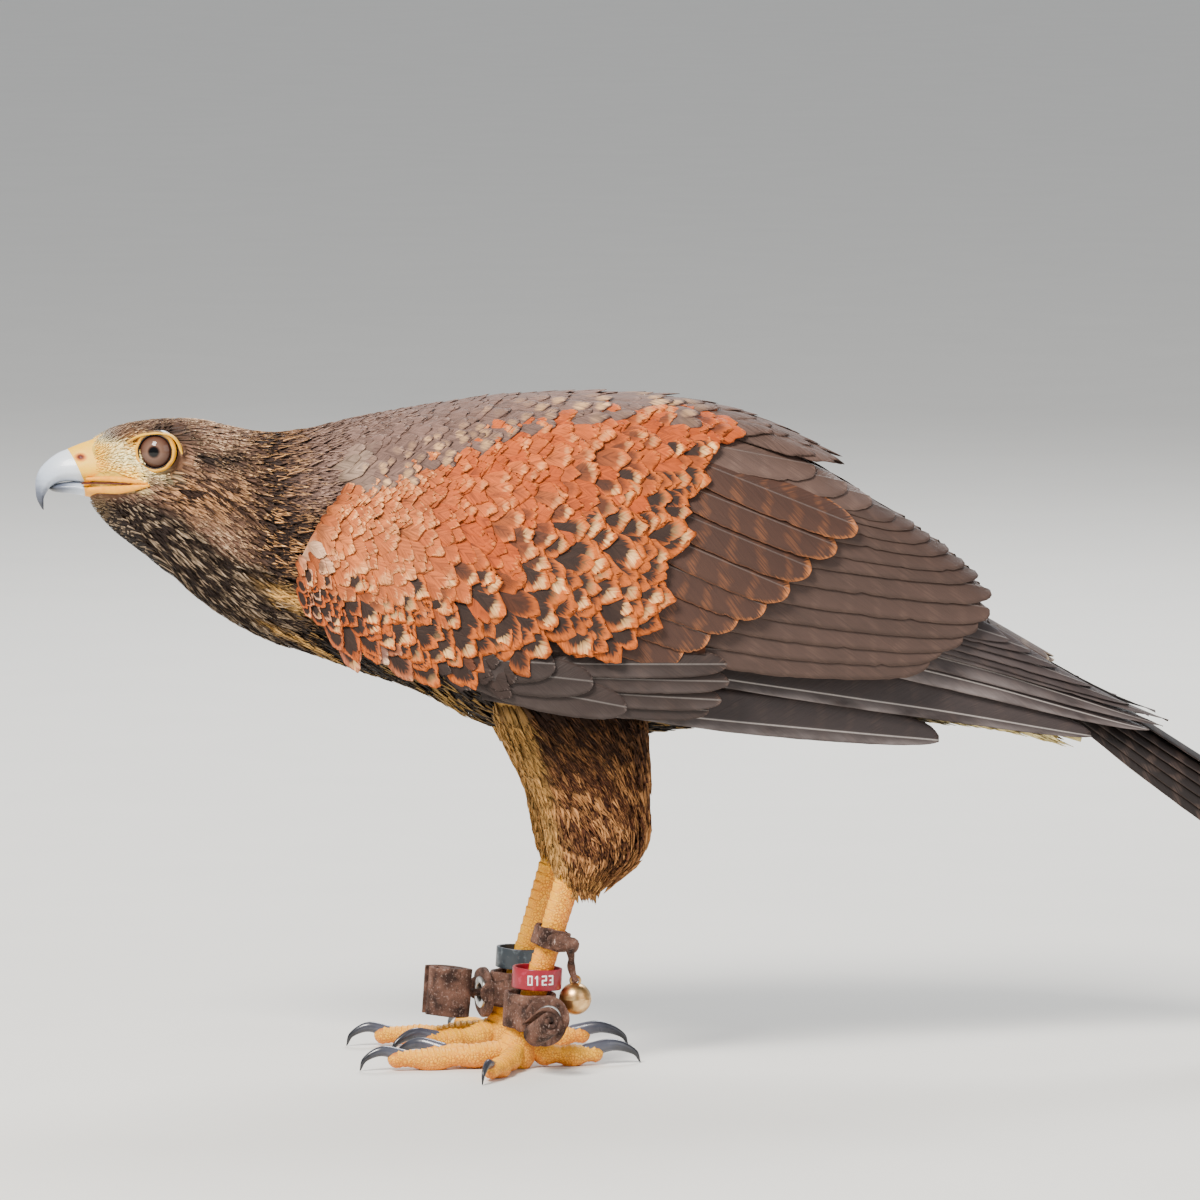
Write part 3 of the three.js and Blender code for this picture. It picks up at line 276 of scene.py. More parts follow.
# A mesh piece from arrays in drawing millimetres, which hides the CAD nodes that it replaces. Its slot name
# is not used
def meshPiece(name, shape, material, slotName, *replaced, uv=None):
    points, quads, tris, attributes = shape
    mesh = bpy.data.meshes.new(name)
    points = (np.asarray(points, float).reshape(-1, 3) + shift) * millimetre
    groups = [np.asarray(g, np.int32) for g in (quads, tris) if g is not None and len(g)]
    corners = np.concatenate([g.ravel() for g in groups])
    sizes = np.concatenate([np.full(len(g), g.shape[1], np.int32) for g in groups])
    mesh.vertices.add(len(points))
    mesh.vertices.foreach_set("co", points.astype(np.float32).ravel())
    mesh.loops.add(len(corners))
    mesh.loops.foreach_set("vertex_index", corners)
    mesh.polygons.add(len(sizes))
    mesh.polygons.foreach_set("loop_start", np.concatenate([[0], np.cumsum(sizes)[:-1]]).astype(np.int32))
    mesh.polygons.foreach_set("use_smooth", np.full(len(sizes), True))
    for key, values in attributes.items():
        values = np.asarray(values, np.float32)
        kind, field = ("FLOAT_COLOR", "color") if values.shape[-1] == 4 else ("FLOAT_VECTOR", "vector")
        mesh.attributes.new(key, kind, "POINT").data.foreach_set(field, values.ravel())
    if uv is not None:
        mesh.uv_layers.new(name="OFBake").data.foreach_set("uv", np.asarray(uv, np.float32)[corners].ravel())
    mesh.update(calc_edges=True)
    mesh.validate()
    mesh.materials.append(material)
    piece = bpy.data.objects.new(name, mesh)
    bpy.context.scene.collection.objects.link(piece)
    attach(piece, "root")
    if replaced:
        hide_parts(*replaced)
    return piece


def gridQuads(rows, columns, wrap=False):
    r, c = np.meshgrid(np.arange(rows - 1), np.arange(columns if wrap else columns - 1), indexing="ij")
    a = r * columns + c
    b = r * columns + (c + 1) % columns
    return np.stack([a, b, b + columns, a + columns], -1).reshape(-1, 4)


# Closes a stack of rings, rows by sides by 3, with a fan of faces at each end
def closedStack(rings, attributes=None):
    rows, sides = rings.shape[:2]
    flat = rings.reshape(-1, 3)
    near = np.arange(sides)
    after = (near + 1) % sides
    top = (rows - 1) * sides
    tris = np.vstack([np.column_stack([np.full(sides, len(flat)), after, near]),
                      np.column_stack([np.full(sides, len(flat) + 1), near + top, after + top])])
    points = np.vstack([flat, rings[0].mean(0), rings[-1].mean(0)])
    return points, gridQuads(rows, sides, wrap=True), tris, attributes or {}


capSteps = (0.45, 0.8, 0.97)  # how far out the rings of a bar's round end lie


# A bar along a path; sizeAt(t) gives half width and half height, relief(t, turn) adds to both
def tube(path, sizeAt, sides=20, count=40, up=(0, 0, 1), relief=None, scutes=1.0):
    line, _ = throughPoints(path, count)
    t = np.linspace(0, 1, count)
    ahead = np.gradient(line, axis=0)
    ahead /= np.linalg.norm(ahead, axis=1)[:, None]
    across = np.cross(ahead, np.array(up, float))
    across /= np.linalg.norm(across, axis=1)[:, None]
    over = np.cross(across, ahead)
    halfWidth, halfHeight = sizeAt(t)
    turn = circle(sides)
    more = relief(t[:, None], turn[None]) if relief else 0
    ring = across[:, None] * ((halfWidth[:, None] + more) * np.cos(turn))[..., None]
    ring = ring + over[:, None] * ((halfHeight[:, None] + more) * np.sin(turn))[..., None]
    caps = []
    for end, way in ((0, -1), (-1, 1)):
        reach = ahead[end] * way * float(halfHeight[end])
        caps.append([line[end] + ring[end] * math.sqrt(1 - step * step) + reach * step for step in capSteps])
    rings = np.concatenate([caps[0][::-1], line[:, None] + ring, caps[1]])
    share = np.concatenate([np.zeros(len(capSteps)), t, np.ones(len(capSteps))]) * scutes
    lie = np.vstack([triples(share[:, None], np.cos(turn), np.sin(turn)), [[0, 0, 0], [scutes, 0, 0]]])
    return closedStack(rings, {"lie": lie})


def evenly(halfWidth, halfHeight):
    return lambda t: [0 * t + halfWidth, 0 * t + halfHeight]


# A closed profile of [radius, height] turned about an axis; uneven(turn, height) gives what adds to both
def turnedRing(profile, centre, axis, sides=64, uneven=None):
    matrix = np.array(Vector(axis).normalized().to_track_quat("Z", "Y").to_matrix())
    profile = np.array(profile, float)
    a = circle(sides)
    radius, height = profile[:, 0, None] + 0 * a, profile[:, 1, None] + 0 * a
    if uneven:
        outward, upward = uneven(a[None], height)
        radius, height = radius + outward, height + upward
    points = np.stack([radius * np.cos(a), radius * np.sin(a), height], -1).reshape(-1, 3)
    points = points @ matrix.T + np.array(centre)
    rows = len(profile)
    r, c = np.meshgrid(np.arange(rows), np.arange(sides), indexing="ij")
    n, d = (r + 1) % rows, (c + 1) % sides
    quads = np.stack([r * sides + c, r * sides + d, n * sides + d, n * sides + c], -1).reshape(-1, 4)
    lie = np.column_stack([np.repeat(np.arange(rows) / rows, sides), np.tile(np.cos(a), rows),
                           np.tile(np.sin(a), rows)])
    return points, quads, None, {"lie": lie}


def joinShapes(shapes):
    points, quads, tris, start = [], [], [], 0
    for p, q, t, _ in shapes:
        points.append(p)
        if q is not None:
            quads.append(np.asarray(q) + start)
        if t is not None:
            tris.append(np.asarray(t) + start)
        start += len(p)
    carried = {key: [extra.get(key, np.zeros((len(p), 3))) for p, _, _, extra in shapes]
               for key in sorted(set().union(*(shape[3] for shape in shapes)))}
    return (np.vstack(points), np.vstack(quads) if quads else None, np.vstack(tris) if tris else None,
            {key: np.vstack(values) for key, values in carried.items()})


def otherSide(shape):
    points, quads, tris, extra = shape
    flip = lambda faces: None if faces is None else np.asarray(faces)[:, ::-1]
    return points * [1, -1, 1], flip(quads), flip(tris), extra


def wireSum(operation, second=False):
    return lambda wire, *others: wire.sum(operation, *((*others, wire) if second else (wire, *others)))


# A node's output that can stand in sums
class Wire:
    def __init__(self, graph, socket):
        self.graph, self.socket = graph, socket

    def sum(self, operation, *values):
        return self.graph.node("ShaderNodeMath", {"operation": operation}, values)

    __add__, __radd__ = wireSum("ADD"), wireSum("ADD", True)
    __sub__, __rsub__ = wireSum("SUBTRACT"), wireSum("SUBTRACT", True)
    __mul__, __rmul__ = wireSum("MULTIPLY"), wireSum("MULTIPLY", True)
    __truediv__, __abs__ = wireSum("DIVIDE"), wireSum("ABSOLUTE")
    most, least = wireSum("MAXIMUM"), wireSum("MINIMUM")
    sine, fraction = wireSum("SINE"), wireSum("FRACT")

    def clear(self):
        return self.least(1.0).most(0.0)

    def rise(self, low, high):
        return ((self - low) / (high - low)).clear()


# One material and its nodes
class Graph:
    sockets = {
        "colour": "Base Color", "roughness": "Roughness", "metallic": "Metallic", "normal": "Normal",
        "coat": "Coat Weight", "coatRoughness": "Coat Roughness", "specular": "Specular IOR Level",
        "subsurface": "Subsurface Weight", "subsurfaceScale": "Subsurface Scale",
    }

    def __init__(self, name):
        self.material = bpy.data.materials.new(name)
        self.material.use_nodes = True
        self.tree = self.material.node_tree
        self.shader = self.tree.nodes["Principled BSDF"]

    def feed(self, socket, value):
        if isinstance(value, Wire):
            self.tree.links.new(value.socket, socket)
        else:
            socket.default_value = value

    def node(self, kind, settings=None, inputs=(), output=0):
        made = self.tree.nodes.new(kind)
        for key, value in (settings or {}).items():
            if key == "stops":
                elements = made.color_ramp.elements
                while len(elements) < len(value):
                    elements.new(0.5)
                for element, (place, colour) in zip(elements, value):
                    element.position, element.color = place, colour
            else:
                setattr(made, key, value)
        for key, value in inputs.items() if isinstance(inputs, dict) else enumerate(inputs):
            self.feed(made.inputs[key], value)
        return Wire(self, made.outputs[output])

    def split(self, vector):
        made = self.node("ShaderNodeSeparateXYZ", inputs=[vector]).socket.node
        return [Wire(self, output) for output in made.outputs]

    def parts(self, name):
        return self.split(self.node("ShaderNodeAttribute", {"attribute_name": name}, output="Vector"))

    def colour(self, name):
        return self.node("ShaderNodeAttribute", {"attribute_name": name}, output="Color")

    def mixed(self, factor, a, b):
        return self.node("ShaderNodeMix", {"data_type": "RGBA"}, {0: factor, 6: a, 7: b}, output=2)

    def brighter(self, colour, value):
        return self.node("ShaderNodeHueSaturation", inputs={"Color": colour, "Value": value})

    def vector(self, x, y, z):
        return self.node("ShaderNodeCombineXYZ", inputs=[x, y, z])

    def place(self, stretch=None):
        spot = self.node("ShaderNodeTexCoord", output="Object")
        return self.node("ShaderNodeMapping", inputs={"Vector": spot, "Scale": stretch}) if stretch else spot

    def noise(self, vector, scale, detail=3.0):
        return self.node("ShaderNodeTexNoise", inputs={"Vector": vector, "Scale": scale, "Detail": detail})

    def cells(self, vector, scale):
        return self.node("ShaderNodeTexVoronoi", {"feature": "DISTANCE_TO_EDGE"},
                         {"Vector": vector, "Scale": scale})

    def bumped(self, height, strength, distance=0.001):
        return self.node("ShaderNodeBump",
                         inputs={"Height": height, "Strength": strength, "Distance": distance})

    def finish(self, **values):
        for key, value in values.items():
            self.feed(self.shader.inputs[self.sockets[key]], value)
        return self.material


# How far inside an oval a place is: 1 at its middle, 0 on its rim
def oval(x, y, middle, half):
    wide, tall = (x - middle[0]) / half[0], (y - middle[1]) / half[1]
    return 1.0 - wide * wide - tall * tall


# On a feather, across and along it: middle and half size
ovals = {"heart": ((0.0, 0.52), (0.7, 0.37)), "tipSpot": ((0.14, 0.85), (0.56, 0.13))}


# Small feathers: fine barbs, a pale rim that frays, and in some a dark heart or a pale spot near the tip
def plumageMaterial():
    g = Graph("plumage")
    along, across, luck = g.parts("lie")
    overBarbs, alongBarbs, _ = g.parts("span")
    fringe, core, streak = g.parts("marks")
    spot = g.node("ShaderNodeAttribute", {"attribute_name": "dark"}, output="Alpha")
    barbs = g.noise(g.vector(overBarbs * 1.4, alongBarbs * 0.1, luck * 40.0), 1.0, 4.0).rise(0.28, 0.72)
    broad = g.noise(g.vector(along * 1.4 + luck * 31.0, across * 1.3, luck * 9.0), 1.0, 2.0)
    outer, uneven = abs(across), barbs - 0.5
    edge = (outer * 0.9).most(along.rise(0.3, 1.0)) + uneven * 0.3
    rim = ((edge - (1.0 - fringe)) / 0.3).clear()
    line = (1.0 - outer / 0.2).clear() * streak * along.rise(0.1, 0.5)
    heart = ((oval(across, along, *ovals["heart"]) + 0.1) * 1.5 + uneven * 1.2).clear() * core
    mark = ((oval(across, along, *ovals["tipSpot"]) - 0.2) * 1.1 + uneven * 0.9).clear() * spot
    colour = g.mixed(rim.most(line), g.colour("dark"), g.colour("light"))
    stain = (0.55 - barbs).clear() * 0.8 + (1.0 - outer / 0.14).clear() * 0.3 * luck
    colour = g.mixed(stain * along.rise(0.98, 0.6), colour, plumage["core"])
    colour = g.mixed(mark, g.mixed(heart, colour, plumage["core"]), plumage["covertTip"])
    # Brightness: barb and per-feather tone, painted shade towards each feather's root where the feathers
    # above it overlap, and painted light lifting the pale lore feathers, whose rim share is above 0.6
    shade = (0.66 + barbs * 0.58) * (0.84 + luck * 0.26) * (0.6 + along.rise(0.1, 0.6) * 0.4)
    shade = shade * (0.7 + broad * 0.5) + fringe.rise(0.6, 0.9) * 0.5
    relief = g.bumped(barbs, 0.3, 0.0004)
    return g.finish(colour=g.brighter(colour, shade), roughness=0.72, specular=0.25, normal=relief)


# The down and skin seen between feathers has the same markings as the coat
def skinMaterial():
    g = Graph("plumageBase")
    spots = g.noise(g.place((0.3, 1.0, 1.0)), 700.0, 4.0)
    colour = g.mixed(spots.rise(0.56, 0.76) * 0.4, g.colour("dark"), g.colour("light"))
    relief = g.bumped(spots, 0.6, 0.0008)
    return g.finish(colour=g.brighter(colour, 0.4 + spots * 0.5), roughness=0.9,
                    specular=0.15, normal=relief)


# Flight and tail feathers: barbs slanting off a pale shaft, faint bars, a worn rim and a frosted outer web
def vaneMaterial():
    g = Graph("flightVane")
    along, across, luck = g.parts("lie")
    run, off, _ = g.parts("span")
    fringe, bars, frost = g.parts("marks")
    dark, light = g.colour("dark"), g.colour("light")
    away, outer = abs(off), abs(across)
    slant = run - away * 1.4
    barbs = g.noise(g.vector(slant * 1.2, away * 0.1, luck * 30.0), 1.0, 4.0).rise(0.25, 0.75)
    patch = g.noise(g.vector(run * 0.05, off * 0.12, luck * 23.0), 1.0, 3.0)
    tip = along.rise(0.6, 1.0)
    edge = (outer * (0.7 + tip * 0.3)).most(along.rise(0.8, 1.0)) + (barbs - 0.5) * 0.24
    rim = ((edge - (1.0 - fringe)) / 0.24).clear()
    band = ((run * 0.5 + patch * 8.0).sine() * 1.2 - 0.3).clear() * bars
    band = band * (0.4 + outer * 0.6) * barbs.rise(0.3, 0.6)
    colour = g.mixed(band * 0.5, dark, light)
    colour = g.mixed(frost * across.rise(-0.1, 0.8) * patch.rise(0.3, 0.62) * 0.8, colour, plumage["frost"])
    colour = g.mixed(rim.most(outer.rise(0.94, 1.0) * 0.12), colour, light)
    shaft = (1.0 - away / 0.5).clear() * along.rise(0.01, 0.06)
    colour = g.mixed(shaft * (0.14 + frost * 0.76), colour, plumage["shaft"])
    shade = (0.56 + barbs * 0.3 + patch * 0.42) * (0.9 + luck * 0.2) * (0.84 + outer * 0.2)
    relief = g.bumped(barbs * 0.6 + shaft, 0.4, 0.0005)
    return g.finish(colour=g.brighter(colour, shade), roughness=0.52 + barbs * 0.16,
                    specular=0.32, normal=relief)


plumageFinish = plumageMaterial()
skinFinish = skinMaterial()
vaneFinish = vaneMaterial()
print("hawk: plumage finishes ready")


# The markings, which the skin and the coat share: base colour and rim colour, how wide the rim, how dark
# the heart and how plain the shaft streak are, and in the base colour's fourth part the pale spot
class Markings:
    def __init__(self, count, dark, light, fringe, core=0.0, streak=0.0):
        self.dark = np.tile(np.array(plumage[dark]), (count, 1))
        self.dark[:, 3] = 0
        self.light = np.tile(np.array(plumage[light]), (count, 1))
        self.marks = np.tile(np.array([fringe, core, streak], float), (count, 1))

    def wash(self, mask, dark=None, light=None, fringe=None, core=None, streak=None, spot=None):
        mask = np.clip(np.asarray(mask, float), 0, 1)
        if dark:
            self.dark[:, :3] += (np.array(plumage[dark])[:3] - self.dark[:, :3]) * mask[:, None]
        if light:
            self.light += (np.array(plumage[light]) - self.light) * mask[:, None]
        if spot is not None:
            self.dark[:, 3] += (spot - self.dark[:, 3]) * mask
        for column, value in enumerate((fringe, core, streak)):
            if value is not None:
                self.marks[:, column] += (value - self.marks[:, column]) * mask


throatLineAt = smoothTable([[-206, 229], [-184, 230], [-160, 214], [-140, 203],
                            [-120, 190], [-100, 178], [-80, 170]])


# Regions are placed by x and z on the drawing, and by low, from 0 on the back to 1 under the belly
def bodyMarks(place, luck):
    x, _, z = place.T
    top, bottom = bodyAt(x)[:2]
    low = np.clip((top - z) / (top - bottom), 0, 1)
    eye = fromEye(place)
    made = Markings(len(x), "crownDark", "crownLight", 0.16)
    made.wash(luck > 0.6, fringe=0.42)
    made.wash(bump(x, -203, 5) * ease(z, 249, 253), "foreheadPale", "foreheadPale")
    made.wash(bump(x, -189, 5) * ease(z, 254, 256.5) * 0.5, "browDark")  # band over the brow
    cheek = ease(x, -186, -176) * (1 - ease(x, -158, -142)) * bump(z, 234, 9)
    made.wash(cheek, "cheekDark", "cheekLight", 0.05)
    made.wash(cheek * ease(luck, 0.5, 0.75), "cheekLight")
    made.wash(ease(x, -160, -140), "neckDark", "neckLight", 0.04, 0, 0)
    made.wash(bump(x, -142, 20) * ease(z, 196, 212) * (luck > 0.62), fringe=0.2, spot=0.8)
    made.wash(bump(z, 248, 4) * ease(x, -171, -167) * (1 - ease(x, -156, -144)),
              "browDark", fringe=0.1)  # behind the eye
    # Painted shade just above the eye, under the brow ridge
    made.wash(bump(eye, 9.5, 2.0) * ease(z, 251, 254) * 0.8, "browDark", "browDark")  # above the eye
    below = throatLineAt(x)[0] - z
    throat = ease(below, -3, 4) * (1 - ease(x, -136, -120))
    made.wash(throat, "throatDark", "throatLight", 0.04, 0, 0, 0)
    made.wash(throat * ease(luck, 0.7, 0.95) * (1 - ease(x, -146, -128)), "throatLight")
    made.wash(throat * (1 - ease(x, -203, -196)) * (luck > 0.3), "chin", "chin")
    lore = (1 - ease(x, -190, -183)) * ease(z, 231, 236) * (1 - ease(z, 250, 255) * ease(x, -206, -196))
    lore = np.maximum(lore, bump(eye, 8, 2.8) * (1 - ease(z, 240, 250)) * (1 - ease(x, -182, -172)))
    # The lores' rim share of 0.9 also turns on the plumage shader's painted light
    made.wash(lore * (1 - ease(z, 251, 256)), "loreWhite", "loreWhite", 0.9)
    made.wash(lore * (1 - ease(z, 239, 246)) * (1 - ease(x, -192, -180)), "loreYellow", "loreYellow")
    made.wash(bump(x, -203, 5.5) * ease(z, 236, 240) * (1 - ease(z, 249, 253)), "loreYellow", "loreYellow")
    made.wash(bump(z, 251, 3.4) * bump(x, -189.5, 5), "loreOrange", "loreYellow")
    mantle = ease(x, -144, -120) * (1 - ease(low, 0.24, 0.4))
    made.wash(mantle, "mantle", "mantleLight", 0.16, 0, 0)
    belly = ease(x, -136, -120) * ease(low, 0.34, 0.5)
    made.wash(belly, "bellyDark", "bellyLight", np.where(luck > 0.88, 0.24, 0.0), 0, 0, 0)
    made.wash(bump(x, -72, 12) * ease(low, 0.92, 0.98) * (luck > 0.5), "bellyLight", "bellyLight")
    for middle, length, thickness in (((-133.4, 191.3), 11, 2.6), ((-132.6, 175.2), 12, 1.0)):
        down, off = x - middle[0], z - middle[1]
        gold = bump(down * 0.85 - off * 0.53, 0, length) * bump(down * 0.53 + off * 0.85, 0, thickness)
        made.wash(gold * 1.8, "patch", "patch")
    made.wash(ease(x, 112, 150) * ease(low, 0.4, 0.6), "undertail", "undertail", 0.2, 0, 0)
    return made


coreLineAt = smoothTable([[-130, 0.76], [-103, 0.7], [-70, 0.6], [-41, 0.46],
                          [-12, 0.27], [10, 0.16], [60, 0.06]])


# The chestnut shoulder, paler at the front, with dark-hearted coverts behind and below, and the frosted hand
def wingMarks(place, luck):
    x, _, z = place.T
    share = np.abs(wingShare(x, z))
    top, bottom = wingAt(x)[:2]
    low = np.clip((top - z) / (top - bottom), 0, 1)
    made = Markings(len(x), "shoulder", "shoulderLight", 0.22)
    made.wash(ease(x, -96, -62), "chestnut", "chestnutLight", 0.1, 0.0, 0.0)
    made.wash(luck * 0.25, "chestnutLight")
    made.wash(luck > 0.7, spot=0.3)
    made.wash(ease(low - coreLineAt(x)[0], -0.3, -0.06) * (luck > 0.4) * ease(x, -90, -50), core=0.7)
    heart = ease(low - coreLineAt(x)[0] + (luck - 0.5) * 0.14, -0.06, 0.05)
    made.wash(heart, "covertEdge", "covertEdge", 0.1, 1.0)
    made.wash(heart, spot=np.clip((luck - 0.55) * 3, 0, 1) * 0.85)
    made.wash(heart * ease(low, 0.55, 0.8), core=1.2 + 0.8 * luck)
    made.wash(heart * (1 - ease(x, -112, -96)) * 0.5, "chestnut", "chestnutLight")
    hand = ease(share - armEndAt(x)[0], -0.012, 0.012) * (1 - ease(x, -30, -10))
    hand = np.maximum(hand, ease(x, -60, -30) * ease(share, 0.79, 0.84))
    made.wash(hand, "hand", "handFrost", 0.08, 0.0, 0.0, 0.0)
    made.wash(bump(x, -103, 9) * ease(share, 0.95, 0.98), "handFrost", "cream", 0.3, 0, 0, 0)
    made.wash(bump(x + (z - 215) * 0.05, -123, 3.0) * bump(z, 208, 20) * (luck > 0.4) * 0.6,
              "cream", "cream")
    return made


def mantleMarks(place, luck):
    x, _, z = place.T
    edge = ease(np.abs(wingShare(x, z)) - armStartAt(x)[0], -0.16, -0.04)
    made = Markings(len(x), "mantle", "mantleLight", 0.08)
    made.wash(ease(x, -30, 30), "rearMantle", "mantle")
    made.wash(edge * (1 - ease(x, -10, 20)), spot=np.clip((luck - 0.4) * 1.4, 0, 0.55))
    made.wash(bump(x, -114, 5) * bump(z, 233, 8), "cream", "cream", 0.5)
    return made


def thighMarks(place, luck):
    x, y, z = place.T
    made = Markings(len(x), "thighBar", "thigh", 0.1)
    flow = z + (x + 14) * 0.6
    bars = np.sin(flow * 0.72 + np.sin(x * 0.23 + y * 0.11) * 2.1) + 0.5 * np.sin(flow * 0.31 + y * 0.2 + 1)
    made.wash(ease(bars + (luck - 0.5) * 1.3, 0.45, 1.0) * 0.9, "thigh", "thigh", 0.3)
    made.wash(ease(z, 122, 140) * 0.75, "thighShade", "thighBar")
    made.wash((1 - ease(z, 74, 90)) * 0.6, "thigh", "patch")
    made.wash((1 - ease(x + (z - 100) * 0.32, -25, -21)) * 0.6, "patch", "patch")
    return made


# Share of a feather's half width from root to tip, how far the tip's sides fall back, and how steeply
# the barbs leave the shaft
featherStations = np.array([0, 0.3, 0.58, 0.8, 0.93, 1])
featherForms = {
    "lancet": {"widths": [0.6, 0.95, 1, 0.84, 0.6, 0.36], "droop": 0.4, "slant": 0.22},
    "shield": {"widths": [0.6, 0.94, 1.02, 0.98, 0.84, 0.6], "droop": 0.23, "slant": 0.5},
    "hair": {"widths": [0.9, 1, 0.9, 0.7, 0.5, 0.3], "droop": 0.2, "slant": 0.1},
}


# Roots in rows across the lie, gap(p, q) millimetres apart. Rows lie closer than roots do, as in scales
def scatter(surface, pSpan, qSpan, gap, keep=None, wobble=0.35, samples=400, rowShare=0.8):
    found = []
    p, row = pSpan[0], 0
    q = np.linspace(qSpan[0], qSpan[1], samples)
    while p < pSpan[1]:
        line = surface(np.full(samples, p), q)
        run = np.linalg.norm(np.diff(line, axis=0), axis=1)
        here = gap(np.full(samples, p), q)
        count = np.concatenate([[0], np.cumsum(run / ((here[1:] + here[:-1]) / 2))])
        number = np.arange(0.25 + 0.5 * (row % 2), count[-1])
        at = np.interp(number + chance.uniform(-wobble, wobble, len(number)), count, q)
        step = surface(np.array([p, p + 0.5]), np.full(2, q[samples // 2]))
        stretch = max(np.linalg.norm(step[1] - step[0]) / 0.5, 0.6)
        size = gap(np.full(len(at), p), at)
        found.append(np.column_stack([p + chance.uniform(-wobble, wobble, len(at)) * size / stretch, at]))
        p += float(np.min(here)) * rowShare / stretch
        row += 1
    roots = np.vstack(found)
    roots = roots[(roots[:, 0] > pSpan[0]) & (roots[:, 0] < pSpan[1])]
    return roots if keep is None else roots[keep(surface(roots[:, 0], roots[:, 1]), roots)]


# Faces of one feather: its top is a grid, and its underside runs from both edges to a keel below the shaft
def featherFaces(rows, columns):
    first, keel = np.arange(rows) * columns, rows * columns + np.arange(rows)
    last = first + columns - 1
    left = np.column_stack([first[:-1], first[1:], keel[1:], keel[:-1]])
    right = np.column_stack([last[1:], last[:-1], keel[:-1], keel[1:]])
    near, end = np.arange(columns - 1), first[-1] + np.arange(columns - 1)
    tip = np.column_stack([end, end + 1, np.full(columns - 1, keel[-1])])
    root = np.column_stack([near + 1, near, np.full(columns - 1, keel[0])])
    return np.vstack([gridQuads(rows, columns), left, right]), np.vstack([tip, root])


def midline(place):
    return place * [1, 0, 0] + [0, 0, 200]


def wingMiddle(place):
    return place * [1, 0, 0] + [0, 0, 190]


# A look gives how many barbs shape the tip, length, width, how deep the root sits, how far the tip lifts,
# and how far the lie leans off the surface's own direction. Feathers stand away from its hub
coatUsual = {
    "lean": 0,
    "ragged": 0.08,  # how unevenly the barbs end
    "crown": 0.2,  # how far the sides fall below the shaft
    "ruffle": 0.2,  # how unevenly the barbs stand up
    "hub": midline, "slotName": "plumage_brown",
}
featherLuck = {"size": 0.22, "frayed": 0.16, "bent": 0.07}


# Feathers on the roots
def coat(name, surface, roots, marksOf, **look):
    look = {**coatUsual, **look}
    n, c, k = len(roots), look["barbs"], len(featherStations)
    form = featherForms[look["form"]]
    p, q = roots.T
    place = surface(p, q)
    stepP, stepQ = 0.4, 0.01
    alongP = (surface(p + stepP, q) - surface(p - stepP, q)) / (2 * stepP)
    alongQ = (surface(p, q + stepQ) - surface(p, q - stepQ)) / (2 * stepQ)
    column = lambda values: np.asarray(values, float).reshape(-1, 1, 1)
    stretchP = column(np.linalg.norm(alongP, axis=1))
    stretchQ = column(np.maximum(np.linalg.norm(alongQ, axis=1), 2.0))
    normal = np.cross(alongP, alongQ)
    normal /= np.linalg.norm(normal, axis=1)[:, None]
    outward = np.sign(((place - look["hub"](place)) * normal).sum(1))
    normal *= outward[:, None]
    luck = chance.random(n)
    read = lambda key: column(look[key](p, q, place) if callable(look[key])
                              else np.full(n, float(look[key])))
    size = column(1 + chance.uniform(-featherLuck["size"], featherLuck["size"], n))
    lean = read("lean") + column(chance.normal(0, look["stray"], n))
    s = np.append(np.repeat(featherStations, c), featherStations * 0.96)[None, :, None]
    a = np.append(np.tile(np.linspace(-1, 1, c), k), np.zeros(k))[None, :, None]
    widths = np.append(np.repeat(form["widths"], c), form["widths"])[None, :, None]
    below = (np.arange(k * c + k) >= k * c)[None, :, None]
    clump = chance.random((n, 1, c))
    clump = clump * 0.5 + (clump + np.roll(clump, 1, 2) + np.roll(clump, 2, 2)) / 6
    clump = np.concatenate([np.tile(clump, (1, k, 1)).reshape(n, -1, 1), np.full((n, k, 1), 0.5)], 1)
    length, half = read("length") * size, read("width") * size / 2
    run = length * (s - form["droop"] * a ** 2 * s ** 2 - look["ragged"] * clump * s ** 7 * ~below)
    off = half * widths * a * (1 - featherLuck["frayed"] * chance.random((n, k * c + k, 1)) * (abs(a) == 1))
    bent = off + column(chance.normal(0, featherLuck["bent"], n)) * run * s
    pAt = p.reshape(-1, 1, 1) + (run * np.cos(lean) - bent * np.sin(lean)) / stretchP
    qAt = q.reshape(-1, 1, 1) + (run * np.sin(lean) + bent * np.cos(lean)) / stretchQ
    points = surface(pAt.ravel(), qAt.ravel()).reshape(n, -1, 3)
    rise = -read("depth") * (1 - s) ** 1.5 + read("lift") * s * column(0.5 + luck)
    rise = rise - look["crown"] * half * a ** 2 + (clump - 0.5) * look["ruffle"] * s ** 2
    rise = rise - below * (0.1 + 0.1 * half) * (1.1 - s)
    points = points + normal[:, None] * rise
    quads, tris = featherFaces(k, c)
    if np.median(outward) > 0:
        quads, tris = quads[:, ::-1], tris[:, ::-1]
    each = k * c + k
    start = (np.arange(n) * each)[:, None, None]
    made = marksOf(place, luck)
    sine, cosine = math.sin(form["slant"]), math.cos(form["slant"])
    over, along = run * sine - abs(off) * cosine, run * cosine + abs(off) * sine
    low, reach = roots.min(0), np.ptp(roots, axis=0)
    cell = ((roots - low) / reach * 0.95 + 0.02)[:, None]
    cellSize = 0.003
    uv = cell + np.stack([s[..., 0] * cellSize, (a[..., 0] + 1) * (cellSize / 2)], -1)
    extra = {"lie": triples(s[..., 0], a[..., 0], luck[:, None]),
             "span": triples(over[..., 0], along[..., 0], 0.0)}
    extra.update({key: np.repeat(getattr(made, key), each, 0) for key in ("dark", "light", "marks")})
    shape = points, (quads + start).reshape(-1, 4), (tris + start).reshape(-1, 3), extra
    meshPiece(name, shape, plumageFinish, look["slotName"], uv=uv.reshape(-1, 2))
    print("hawk:", name, n, "feathers,", n * (2 * len(quads) + len(tris)), "triangles")


def byX(low, high, a, b):
    return lambda p, q, place: blend(a, b, ease(place[:, 0], low, high))


# Skin shells, sunk under the coat by its depth
skin = {"faceDepth": 0.8, "bodyDepth": 2.6, "thighDepth": 2.2, "armDepth": 2.4, "handDepth": 3.2}


